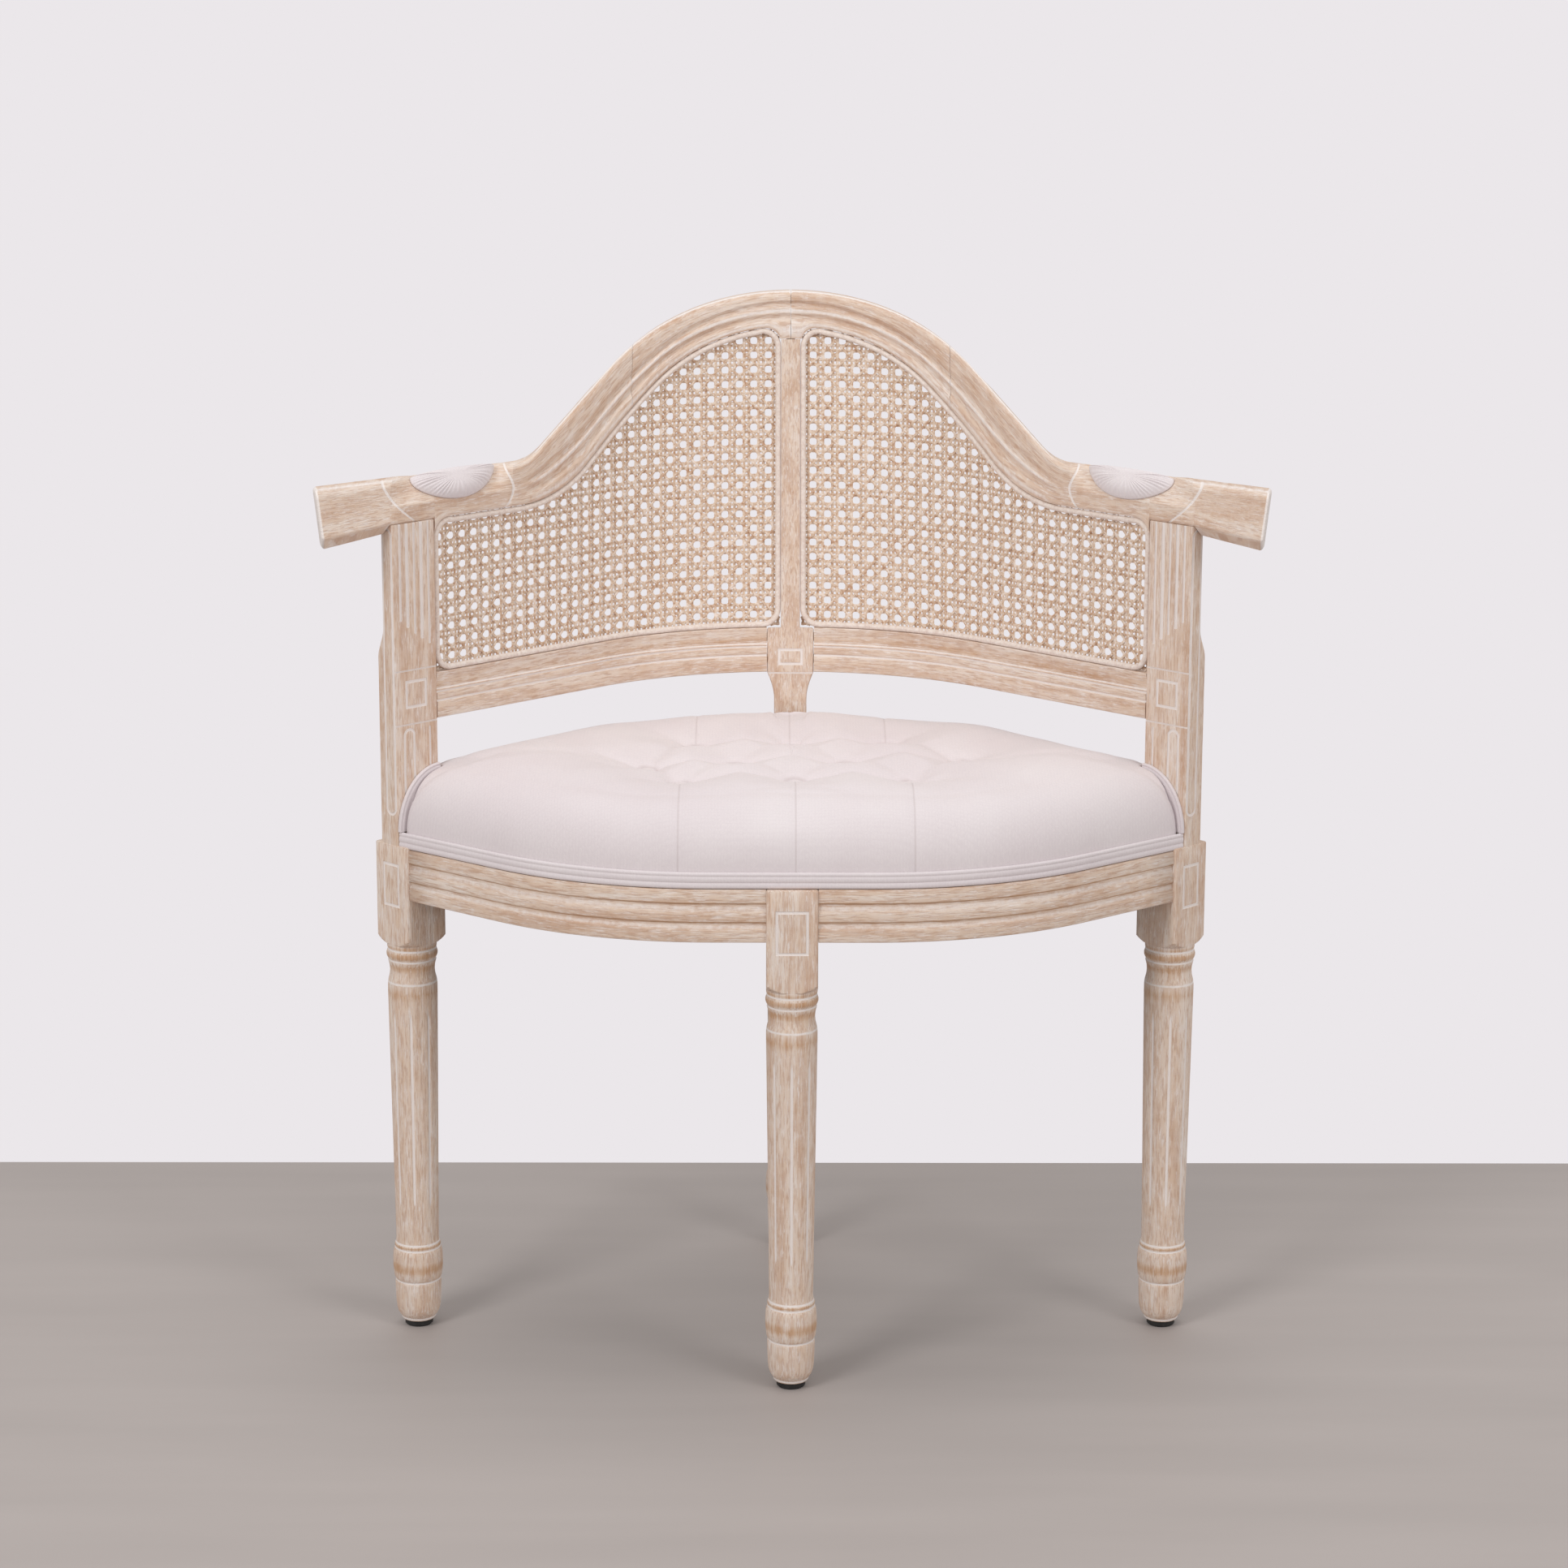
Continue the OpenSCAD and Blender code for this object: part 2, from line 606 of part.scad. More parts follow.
module rear_leg_and_stile() {
    color(wood) placed() difference() {
        union() {
            translate([0, rear_reach, 0]) plain_leg(seat_h);
            stile();
        }
        translate([-stile_block_w, rear_reach - block_w, crest_low_mid - 2 * fit_gap])
            cube([stile_block_w * 2, block_w * 4, crest_h * 2]);
        dowel_holes(concat(rail_dowels, back_dowels, [stile_dowel]));
        screw_holes(corner_screws);
    }
}

// A glide and the pin that it is driven in with
module glide(place) {
    color(black) placed() translate(place) {
        rotate_extrude() polygon([
            [0, 0], [glide_r - glide_h / 4, 0], [glide_r, glide_h / 4], [glide_r, glide_h - soft_gap],
            [glide_pin_r, glide_h - soft_gap], [glide_pin_r, glide_h + glide_pin_l - glide_pin_r],
            [0, glide_h + glide_pin_l]
        ]);
    }
}
module front_glide() { glide([0, -front_reach, 0]); }
module left_glide() { glide([-side_x, 0, 0]); }
module right_glide() { glide([side_x, 0, 0]); }
module rear_glide() { glide([0, rear_reach, 0]); }

// Seat rails: a moulded section whose outer face is at x = 0, in shares of rail_t and rail_h
rail_shares = [
    [0, 0], [0, 0.40], [0.05, 0.43], [0.02, 0.46], [0.02, 0.70], [0.08, 0.73], [0.05, 0.77],
    [0.05, 1], [1, 1], [1, 0]
];
function rail_section(r) = [for (p = rail_shares) [r - p[0] * rail_t, rail_z + p[1] * rail_h]];
module rail_run(length) {
    rotate([90, 0, 0]) linear_extrude(length) polygon(rail_section(0));
}
function front_ring(x, y, a) = [for (p = rail_shares) [
    x + p[0] * rail_t * sin(a), y + p[0] * rail_t * cos(a), rail_z + p[1] * rail_h
]];
module front_left_seat_rail() {
    steps = 14;
    bend = front_arc(0, steps);
    run = side_x + bend[steps][0];
    color(pale_wood) placed() difference() {
        skin(concat(
            [front_ring(-block_w / 2, front_face_y, 0)],
            [for (i = [0:steps]) front_ring(bend[i][0], bend[i][1], front_angle * i / steps)],
            [front_ring(-side_x, bend[steps][1] + run * tan(front_angle), front_angle)]
        ));
        translate([-side_x, 0, rail_z - over]) rotate(45)
            translate([-block_w, -block_w / 2, 0]) cube([block_w * 3, block_w * 2, rail_h + 2 * over]);
        dowel_holes(left_rail_dowels);
    }
}
module front_right_seat_rail() {
    mirror([1, 0, 0]) front_left_seat_rail();
}
module rear_left_seat_rail() {
    run = (side_x - (rear_bend_r - rail_t / 2) / root2) * root2 - block_w / 2;
    color(pale_wood) placed() difference() {
        union() {
            translate([0, rear_bend_y, 0]) rotate(90) rotate_extrude(angle = 45, $fn = 96)
                polygon(rail_section(rear_bend_r));
            translate([0, rear_bend_y, 0]) rotate(135) translate([rear_bend_r, 0, 0])
                mirror([0, 1, 0]) rail_run(run);
        }
        translate([-block_w / 2, rear_reach - block_w, rail_z - over])
            cube([block_w, block_w * 2, rail_h + 2 * over]);
        dowel_holes(left_rail_dowels);
    }
}
module rear_right_seat_rail() {
    mirror([1, 0, 0]) rear_left_seat_rail();
}

// Plan squares of the four leg blocks, grown by a clearance
module block_squares(grow) {
    w = block_w + 2 * grow;
    for (y = [-front_reach, rear_reach]) translate([0, y]) square(w, center = true);
    for (x = [-side_x, side_x]) translate([x, 0]) rotate(45) square(w, center = true);
}
module corner_block(low, size) {
    color(wood) placed() difference() {
        translate([0, 0, corner_z]) linear_extrude(corner_h) difference() {
            intersection() {
                polygon(seat_plan(rail_t + fit_gap));
                translate(low) square(size);
            }
            block_squares(fit_gap);
        }
        screw_holes(concat(corner_screws, board_screws));
    }
}
module front_corner_block() {
    corner_block([-corner_w / 2, -front_reach - block_w], [corner_w, block_w * 1.5 + corner_depth]);
}
module rear_corner_block() {
    corner_block([-corner_w / 2, rear_reach - block_w / 2 - corner_depth], [corner_w, block_w * 2]);
}
module left_corner_block() {
    corner_block([-side_x, -side_x], [block_w / root2 + corner_depth, side_x * 2]);
}
module right_corner_block() {
    mirror([1, 0, 0]) left_corner_block();
}
module corner_block_screws() {
    color(steel) placed() for (p = corner_screws) along(p) screw();
}
module seat_board() {
    color(wood) placed() difference() {
        translate([0, 0, board_z]) linear_extrude(board_t) difference() {
            polygon(seat_plan(rail_t + fit_gap));
            block_squares(fit_gap);
        }
        screw_holes(board_screws);
    }
}
module seat_board_screws() {
    color(steel) placed() for (p = board_screws) along(p) screw();
}
module dust_cover() {
    color(black) placed() translate([0, 0, rail_z - soft_gap - dust_t]) linear_extrude(dust_t) difference() {
        polygon(seat_plan(dust_set));
        block_squares(soft_gap);
    }
}

// Lower back rails, crest and arms
rail_face_shares = [[0, 0], [0, 0.36], [0.06, 0.40], [0.06, 0.62], [0, 0.66], [0, 1], [1, 1], [1, 0]];
function back_rail_ring(s) = [for (p = rail_face_shares)
    back_point(s, back_z + p[1] * back_rail_h, p[0] * back_t)];
module lower_back_rail_left() {
    from = stile_block_w / 2 - back_t / 4;
    steps = 20;
    color(wood) placed() difference() {
        skin([for (i = [0:steps]) back_rail_ring(from + (post_in_s - from) * i / steps)]);
        dowel_holes(left_back_dowels);
        translate([-stile_block_w / 2, 0, back_z - over])
            cube([stile_block_w, rear_reach * 2, back_rail_h + 2 * over]);
    }
}
module lower_back_rail_right() {
    mirror([1, 0, 0]) lower_back_rail_left();
}
module crest_rail_left() {
    color(wood) placed() difference() {
        skin(concat(
            [crest_ring(0), crest_ring(stile_w / 2)],
            [for (a = [20, 45, 70]) crest_ring(stile_w / 2 + bend_out * (1 - cos(a)))],
            crest_rings(stile_w / 2 + bend_out, seam_s - fit_gap, 11)
        ), ends = crest_ends);
        dowel_holes(concat([stile_dowel, centre_dowel], left_crest_dowels));
    }
}
module crest_rail_right() {
    mirror([1, 0, 0]) crest_rail_left();
}
module arm_rail_left() {
    color(wood) placed() difference() {
        skin(concat(
            crest_rings(seam_s, pad_s - pad_l / 2 - fade_s, 16),
            crest_rings(pad_s - pad_l / 2, pad_s + pad_l / 2, 9),
            [crest_ring(post_foot_s)],
            crest_rings(post_foot_s + over, arm_end_s, 3)
        ), ends = crest_ends);
        dowel_holes(concat(left_crest_dowels, left_post_dowels));
    }
}
module arm_rail_right() {
    mirror([1, 0, 0]) arm_rail_left();
}
module seat_rail_dowels() {
    color(pale_wood) placed() for (p = rail_dowels) along(p) dowel();
}
module back_rail_dowels() {
    color(pale_wood) placed() for (p = back_dowels) along(p) dowel();
}
module crest_dowels() {
    places = concat(
        [stile_dowel, centre_dowel], left_crest_dowels, mirror_x(left_crest_dowels),
        left_post_dowels, mirror_x(left_post_dowels)
    );
    color(pale_wood) placed() for (p = places) along(p) dowel();
}

// Cane sheet: a net on the back's face, square meshes up to the crest's edge

cane_from = stile_w / 2 + soft_gap;
cane_to = post_in_s - soft_gap;
cane_low = back_z + back_rail_h + soft_gap;
cane_cols = round((cane_to - cane_from) / cane_pitch);
hole_share = 0.62;
function cane_s(i) = cane_from + (cane_to - cane_from) * i / cane_cols;
panel_sweep_r = panel_sweep_share * widest(crest_top - crest_h - arm_z, post_s - panel_foot_set);
cane_sag = cane_pitch * cane_pitch / panel_sweep_r / 8;
function cane_high(s) = crest_low(s) - soft_gap - cane_sag;
function cane_rows(i) = floor((cane_high(cane_s(i)) - cane_low) / cane_pitch - 0.3);
function cane_z(i, j) = j > cane_rows(i) ? cane_high(cane_s(i)) : cane_low + j * cane_pitch;
cane_offsets = [for (i = 0, sum = 0; i <= cane_cols + 1; sum = sum + cane_rows(min(i, cane_cols)) + 2, i = i + 1) sum];
function col_rows(i) = min(cane_rows(i), cane_rows(i + 1));

module cane_sheet() {
    count = cane_offsets[cane_cols + 1];
    nodes = join([for (i = [0:cane_cols]) [for (j = [0:cane_rows(i) + 1]) [cane_s(i), cane_z(i, j)]]]);
    holes = join([for (i = [0:cane_cols - 1]) [for (j = [0:col_rows(i) - 1]) [i, j]]]);
    edge = (1 - hole_share) / 2;
    function corner(i, j, a, b) = [
        cane_s(i) + a * (cane_s(i + 1) - cane_s(i)), cane_low + (j + b) * cane_pitch
    ];
    hole_points = [for (h = holes) [
        corner(h[0], h[1], edge, edge), corner(h[0], h[1], 1 - edge, edge),
        corner(h[0], h[1], 1 - edge, 1 - edge), corner(h[0], h[1], edge, 1 - edge)
    ]];
    points = concat(
        [for (p = nodes) back_point(p[0], p[1], cane_n)],
        [for (p = nodes) back_point(p[0], p[1], cane_n + cane_t)],
        join([for (h = hole_points) concat(
            [for (p = h) back_point(p[0], p[1], cane_n)],
            [for (p = h) back_point(p[0], p[1], cane_n + cane_t)]
        )])
    );
    function at(i, j) = cane_offsets[i] + j;
    // Meshes round each hole, front, back and inside
    meshes = join([for (k = [0:len(holes) - 1]) let (
        i = holes[k][0],
        j = holes[k][1],
        outer = [at(i, j), at(i + 1, j), at(i + 1, j + 1), at(i, j + 1)],
        inner = count * 2 + k * 8
    ) join([for (q = [0:3]) let (r = (q + 1) % 4) [
        [outer[q], outer[r], inner + r], [outer[q], inner + r, inner + q],
        [outer[r] + count, outer[q] + count, inner + 4 + r],
        [outer[q] + count, inner + 4 + q, inner + 4 + r],
        [inner + q, inner + r, inner + 4 + r], [inner + q, inner + 4 + r, inner + 4 + q]
    ]])]);
    // Solid patches between the last full meshes and the crest's edge
    patches = join([for (i = [0:cane_cols - 1]) let (
        m = col_rows(i),
        a = [for (j = [m:cane_rows(i) + 1]) at(i, j)],
        b = [for (j = [m:cane_rows(i + 1) + 1]) at(i + 1, j)],
        top_a = a[len(a) - 1],
        top_b = b[len(b) - 1]
    ) len(a) > 2
        ? concat([[a[0], b[0], top_b]], [for (k = [0:len(a) - 2]) [a[k], top_b, a[k + 1]]])
        : concat([[a[0], b[0], top_a]], [for (k = [0:len(b) - 2]) [b[k], b[k + 1], top_a]])
    ]);
    rim = concat(
        [for (i = [0:cane_cols - 1]) [at(i, 0), at(i + 1, 0)]],
        [for (j = [0:cane_rows(cane_cols)]) [at(cane_cols, j), at(cane_cols, j + 1)]],
        [for (i = [cane_cols - 1:-1:0]) [at(i + 1, cane_rows(i + 1) + 1), at(i, cane_rows(i) + 1)]],
        [for (j = [cane_rows(0):-1:0]) [at(0, j + 1), at(0, j)]]
    );
    polyhedron(points, concat(
        meshes,
        patches,
        [for (f = patches) [f[0] + count, f[2] + count, f[1] + count]],
        join([for (e = rim) [[e[1], e[0], e[0] + count], [e[1], e[0] + count, e[1] + count]]])
    ), convexity = 10);
}
module cane_panel_left() {
    color(cane) placed() cane_sheet();
}
module cane_panel_right() {
    mirror([1, 0, 0]) cane_panel_left();
}

// Spline: a round strip that runs round the cane sheet's edge
function arc_points(s, z, from, to, r = spline_bend, steps = 4) = [
    for (i = [0:steps]) let (a = from + (to - from) * i / steps) [s + r * cos(a), z + r * sin(a)]
];
function spline_path() = let (
    s0 = stile_w / 2 + spline_in,
    s1 = post_in_s - spline_in,
    z0 = back_z + back_rail_h + spline_in,
    b = spline_bend,
    steps = 16
) concat(
    arc_points(s1 - b, z0 + b, -90, 0),
    arc_points(s1 - b, crest_low(s1) - spline_in - b, 0, 90),
    [for (i = [1:steps - 1]) let (s = s1 - b + (s0 - s1 + 2 * b) * i / steps)
        [s, crest_low(s) - spline_in * norm([1, (crest_low(s + over) - crest_low(s)) / over]) - cane_sag]],
    arc_points(s0 + b, crest_low(s0 + b) - spline_in - b, 90, 180),
    arc_points(s0 + b, z0 + b, 180, 270),
    [for (i = [1:11]) [s0 + b + (s1 - s0 - 2 * b) * i / 12, z0]]
);
module cane_spline_left() {
    path = spline_path();
    m = len(path);
    rings = [for (i = [0:m - 1]) let (
        t = path[(i + 1) % m] - path[(i + m - 1) % m],
        side = [t[1], -t[0]] / norm(t)
    ) [for (k = [0:5]) let (a = k * 60, p = path[i] + side * spline_w / 2 * cos(a))
        back_point(p[0], p[1], cane_n - fit_gap - spline_w / 2 - spline_w / 2 * sin(a))]];
    color(pale_wood) placed() skin(rings, loop = true);
}
module cane_spline_right() {
    mirror([1, 0, 0]) cane_spline_left();
}

// Seat cushion: rings of its outline, drawn in towards the seat's middle

function stile_turn(inset) = asin((stile_foot_w / 2 + inset) / (rear_bend_r - inset));
function cushion_half(inset) = let (
    notch = side_x - post_face * root2 - inset * root2,
    inner = side_point(post_in + inset, -post_face - inset, 0),
    back = side_point(post_in + inset, rail_t / 2 - inset, 0),
    stile_y = rear_reach + block_w / 2 - stile_set - stile_slab - inset
) concat(
    [[0, front_face_y + inset, 0]],
    flat(front_arc(inset, 7)),
    let (a = front_arc(inset, 7)[7], b = front_meets(notch, inset)) flat([a * 0.5 + b * 0.5, b]),
    let (b = front_meets(notch, inset)) [for (i = [1:4]) let (t = i / 4) [
        b[0] + (inner[0] - b[0]) * t, b[1] + (inner[1] - b[1]) * t, sqrt(1 - (1 - t) * (1 - t))
    ]],
    [[back[0], back[1], 0.75]],
    flat([back_mid(inset, 0.33), back_mid(inset, 0.66)]),
    flat(rear_arc(inset, stile_turn(inset), 7)),
    [[-stile_foot_w / 2 - inset / 2, stile_y, 0]]
);
function flat(points) = [for (p = points) [p[0], p[1], 0]];
function back_mid(inset, share) = let (
    from = side_point(post_in + inset, rail_t / 2 - inset, 0),
    to = rear_arc(inset, stile_turn(inset), 7)[0]
) [from[0] + (to[0] - from[0]) * share, from[1] + (to[1] - from[1]) * share];
function cushion_outline(inset) = let (
    half = cushion_half(inset),
    rest = [for (i = [len(half) - 1:-1:1]) [-half[i][0], half[i][1], half[i][2]]]
) concat(half, [[0, half[len(half) - 1][1], 0]], rest);
// Places of the hand-sewn buttons, in shares of their spacings from the seat's middle
button_shares = [
    [-0.87, 1.00], [-0.01, 1.05], [0.87, 1.13], [-1.28, -0.26], [-0.50, -0.06], [0.47, 0.02],
    [1.50, 0.15], [-0.97, -1.06], [0.03, -0.94], [1.04, -1.00]
];
buttons = [for (p = button_shares) [p[0] * tuft_x, seat_mid + p[1] * tuft_y]];
function tuft_dip(p, i = 0) = i >= len(buttons) ? 0
    : max(tuft_d * exp(-pow(norm(p - buttons[i]) / (tuft_x * 0.28), 2)), tuft_dip(p, i + 1));
roll_angles = [15, 33, 52, 71, 90];
dome_shares = [for (i = [1:9]) i / 10];
module seat_cushion() {
    outline = cushion_outline(cushion_in);
    mid = [0, seat_mid];
    k = len(outline);
    edge_z = (crown_z - roll_z) * edge_share;
    function drawn(p, d) = let (c = [p[0], p[1]]) c + (mid - c) * d / norm(mid - c);
    function roll_at(p) = edge_roll + (back_roll - edge_roll) * ramp(p[1], post_y, seat_mid);
    function dome(p, share) = let (q = drawn(p, roll_at(p)), r = q + (mid - q) * share)
        [r[0], r[1], crown_z - (crown_z - roll_z - edge_z) * pow(1 - share, 6) - tuft_dip(r)];
    rings = concat(
        [[for (p = outline) [p[0], p[1], cushion_z]]],
        [[for (p = outline) [p[0], p[1], roll_z + edge_z * p[2]]]],
        [for (a = roll_angles) [for (p = outline) let (q = drawn(p, roll_at(p) * (1 - cos(a))))
            [q[0], q[1], roll_z + edge_z * (p[2] + (1 - p[2]) * sin(a))]]],
        [for (share = dome_shares) [for (p = outline) dome(p, share)]]
    );
    m = len(rings);
    points = concat(join(rings), [[mid[0], mid[1], cushion_z], dome([0, front_face_y, 0], 1)]);
    sides = join([for (i = [0:m - 2]) for (j = [0:k - 1]) let (j2 = (j + 1) % k) [
        [i * k + j, (i + 1) * k + j2, (i + 1) * k + j], [i * k + j, i * k + j2, (i + 1) * k + j2]
    ]]);
    fans = join([for (j = [0:k - 1]) let (j2 = (j + 1) % k) [
        [j2, j, m * k], [(m - 1) * k + j, (m - 1) * k + j2, m * k + 1]
    ]]);
    color(fabric) placed() difference() {
        polyhedron(points, concat(sides, fans), convexity = 8);
        for (b = buttons) translate([b[0], b[1], button_z])
            cylinder(r = button_r + soft_gap, h = crown);
    }
}
module tuft_buttons() {
    color(fabric) placed() for (b = buttons) translate([b[0], b[1], button_z + soft_gap])
        rotate_extrude() polygon([
            [0, 0], [button_r * 0.8, 0], [button_r, button_h * 0.35], [button_r * 0.75, button_h * 0.8], [0, button_h]
        ]);
}

// Welts: flat double cords that hide the fabric's edge

module welt_strip(points_out, points_in) {
    color(fabric) placed() difference() {
        translate([0, 0, welt_z]) linear_extrude(welt_h - soft_gap)
            polygon(concat(points_out, [for (i = [len(points_in) - 1:-1:0]) points_in[i]]));
        for (side = [0, 1]) mirror([side, 0, 0]) translate([-side_x, 0, 0]) rotate(45) {
            translate([-block_w / 2 - soft_gap, -block_w / 2 - soft_gap, rail_z])
                cube([block_w + 2 * soft_gap, block_w + 2 * soft_gap, block_top - rail_z + soft_gap]);
            post_blank(soft_gap, rail_z);
        }
    }
}
function front_edge(inset) = let (
    half = concat(
        [front_meets(side_x - (post_face - soft_gap) * root2, inset)],
        [for (i = [8:-1:0]) front_arc(inset)[i]]
    )
) concat(half, flip_x(half));
module seat_welt_front() {
    welt_strip(front_edge(soft_gap), front_edge(soft_gap + welt_t));
}
function rear_edge(inset) = let (back = side_point(0, rail_t / 2 - inset, 0))
    concat([[back[0], back[1]]], rear_arc(inset, stile_turn(soft_gap)));
module seat_welt_rear() {
    for (side = [0, 1]) mirror([side, 0, 0])
        welt_strip(rear_edge(soft_gap), rear_edge(soft_gap + welt_t));
}
// The front welt's tails, which climb the posts' faces over the cushion's rounded edge
module post_welt_left() {
    top = roll_z + (crown_z - roll_z) * edge_share;
    rise = top - welt_z - welt_h;
    outer = [for (a = [0:10:90]) [-post_out + post_w * (1 - cos(a)), welt_z + welt_h + rise * sin(a)]];
    inner = [for (a = [90:-10:0])
        [welt_h / 2 - post_out + (post_w - welt_h / 2) * (1 - cos(a)), welt_z + welt_h + (rise - welt_h / 2) * sin(a)]];
    color(fabric) placed() translate([-side_x, 0, 0]) rotate(45)
        translate([0, -post_face - soft_gap, 0]) rotate([90, 0, 0])
            linear_extrude(welt_t - soft_gap) polygon(concat(outer, inner));
}
module post_welt_right() {
    mirror([1, 0, 0]) post_welt_left();
}

// Arm pads, stuffed half ovals on the slanted faces of the arms
module arm_pad_left() {
    steps = 24;
    pad_shares = [[1, 0], [1, 0.25], [0.93, 0.55], [0.78, 0.80], [0.55, 0.94], [0.28, 0.99]];
    function on_face(u, v, h) = let (
        s = pad_s + u * (pad_l / 2 - soft_gap * 2),
        low = back_point(s, arm_z + pad_low_share * arm_h, 0),
        high = back_point(s - slant_n * tan(turn(s)), arm_top, slant_n),
        across = high - low,
        out = cross([1, 1, 0], across) / norm(cross([1, 1, 0], across)),
        mid = (low + high) / 2
    ) mid + across * v / 2 + out * h;
    rings = [for (p = pad_shares) [for (i = [0:steps - 1]) let (a = i * 360 / steps)
        on_face(p[0] * cos(a), p[0] * sin(a), soft_gap + p[1] * pad_h)]];
    m = len(rings);
    points = concat(join(rings), [on_face(0, 0, soft_gap), on_face(0, 0, soft_gap + pad_h)]);
    sides = join([for (i = [0:m - 2]) for (j = [0:steps - 1]) let (j2 = (j + 1) % steps) [
        [i * steps + j, i * steps + j2, (i + 1) * steps + j2],
        [i * steps + j, (i + 1) * steps + j2, (i + 1) * steps + j]
    ]]);
    fans = join([for (j = [0:steps - 1]) let (j2 = (j + 1) % steps) [
        [j2, j, m * steps], [(m - 1) * steps + j, (m - 1) * steps + j2, m * steps + 1]
    ]]);
    color(fabric) placed() polyhedron(points, concat(sides, fans), convexity = 4);
}
module arm_pad_right() {
    mirror([1, 0, 0]) arm_pad_left();
}

front_leg();
left_leg_and_post();
right_leg_and_post();
rear_leg_and_stile();
front_glide();
left_glide();
right_glide();
rear_glide();
front_left_seat_rail();
front_right_seat_rail();
rear_left_seat_rail();
rear_right_seat_rail();
front_corner_block();
left_corner_block();
right_corner_block();
rear_corner_block();
corner_block_screws();
seat_board();
seat_board_screws();
dust_cover();
lower_back_rail_left();
lower_back_rail_right();
crest_rail_left();
crest_rail_right();
arm_rail_left();
arm_rail_right();
seat_rail_dowels();
back_rail_dowels();
crest_dowels();
cane_panel_left();
cane_panel_right();
cane_spline_left();
cane_spline_right();
seat_cushion();
tuft_buttons();
seat_welt_front();
seat_welt_rear();
post_welt_left();
post_welt_right();
arm_pad_left();
arm_pad_right();
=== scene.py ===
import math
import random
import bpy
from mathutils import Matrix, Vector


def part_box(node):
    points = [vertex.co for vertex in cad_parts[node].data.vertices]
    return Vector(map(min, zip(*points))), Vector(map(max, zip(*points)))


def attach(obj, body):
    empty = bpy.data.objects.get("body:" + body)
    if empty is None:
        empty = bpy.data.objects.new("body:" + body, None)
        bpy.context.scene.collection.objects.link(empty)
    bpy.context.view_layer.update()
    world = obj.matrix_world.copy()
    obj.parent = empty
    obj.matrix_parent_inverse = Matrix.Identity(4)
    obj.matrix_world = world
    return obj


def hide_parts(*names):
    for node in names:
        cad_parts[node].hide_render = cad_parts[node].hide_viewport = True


bl_info = {
    "name": "Caned corner chair",
    "version": (1, 0, 0),
    "blender": (4, 5, 0),
    "location": "3D View > Sidebar > Corner chair",
    "description": "Dresses the packed corner chair in limed wood, woven cane and buttoned linen",
    "category": "Object",
}

import bpy
import numpy as np
from bpy.props import FloatProperty, FloatVectorProperty, IntProperty, PointerProperty
from mathutils import Matrix, Vector, noise

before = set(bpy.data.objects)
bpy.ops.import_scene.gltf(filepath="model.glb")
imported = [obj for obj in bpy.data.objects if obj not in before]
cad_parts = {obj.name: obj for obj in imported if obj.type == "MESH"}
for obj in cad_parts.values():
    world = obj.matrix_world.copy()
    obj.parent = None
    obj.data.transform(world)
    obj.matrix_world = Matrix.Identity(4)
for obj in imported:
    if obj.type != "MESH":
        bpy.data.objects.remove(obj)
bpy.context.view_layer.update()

MM = 0.001
ROOT2 = math.sqrt(2)

# Plan and heights of the chair in millimetres, with the side legs' axes at Y = 0 as in the
# part's source. placed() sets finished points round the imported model's own origin.
SIDE_X, FRONT_REACH, REAR_REACH = 322.0, 139.0, 200.0
BLOCK_W, RAIL_T, RAIL_H = 42.0, 26.0, 44.0
LEG_H, SEAT_H, BLOCK_TOP = 343.0, 429.0, 431.0
BACK_Z, BACK_RAIL_H, BACK_T = 534.0, 39.0, 22.0
POST_FACE, POST_OUT, POST_IN = 9.2, 20.5, 25.2
ARM_TOP, ARM_Z, CREST_TOP, CREST_LOW = 738.0, 703.0, 869.0, 838.5
CROWN_Z, WELT_Z, WELT_H = 510.0, 429.3, 13.7
PAD_SET, PAD_L, PAD_SLANT, PAD_LOW = 45.0, 92.0, 16.0, 0.42
STILE_W, STILE_BLOCK_W, STILE_FOOT_W = 17.0, 41.6, 29.0
RAKE, ARM_TILT = math.radians(10), math.radians(12)
FRONT_ANGLE, FRONT_R, FRONT_FLAT = math.radians(39.5), 280.0, 64.0
FRONT_FACE_Y = -FRONT_REACH - BLOCK_W / 2 + 3
REAR_R = (SIDE_X - REAR_REACH) / (ROOT2 - 1) + RAIL_T / 2
REAR_Y = REAR_REACH + RAIL_T / 2 - REAR_R
STILE_SLAB = BACK_T / math.cos(RAKE)
POST_Y = -POST_FACE * ROOT2
BACK_LINE = SIDE_X + POST_Y
BACK_REAR_Y = REAR_REACH + BLOCK_W / 2 - 4 - STILE_SLAB + (BACK_Z - SEAT_H) * math.tan(RAKE)
BACK_R = (BACK_LINE - BACK_REAR_Y) / (ROOT2 - 1)
ARC_S = BACK_R * math.pi / 4
POST_S = ARC_S + SIDE_X * ROOT2 - POST_FACE - BACK_R
POST_FOOT_S = POST_S + POST_OUT
ARM_END_S = POST_S + 98
PAD_S = POST_S - PAD_SET
SEAM_S = 150.0
CANE_N, CANE_T, SPLINE_W, SPLINE_BEND = 5.6, 2.5, 5.0, 14.0
SPLINE_INSET = SPLINE_W / 2 + 0.15
SEAT_MID = (REAR_Y + REAR_R + FRONT_FACE_Y) / 2
WELT_IN, CUSHION_IN, COVER_IN = 3.3, 3.6, 8.0
# The turned shaft: its radii at the neck and the collar, its heights and its flutes' ends
NECK_R, LEG_R, SHAFT_LOW, SHAFT_HIGH, FLUTE_LOW, FLUTE_HIGH = 18.2, 21.0, 80.0, 300.0, 107.0, 288.0
CONE_H, THIN_LOW, THIN_HIGH, THINNER = 8.0, 590.0, 614.0, 7.0
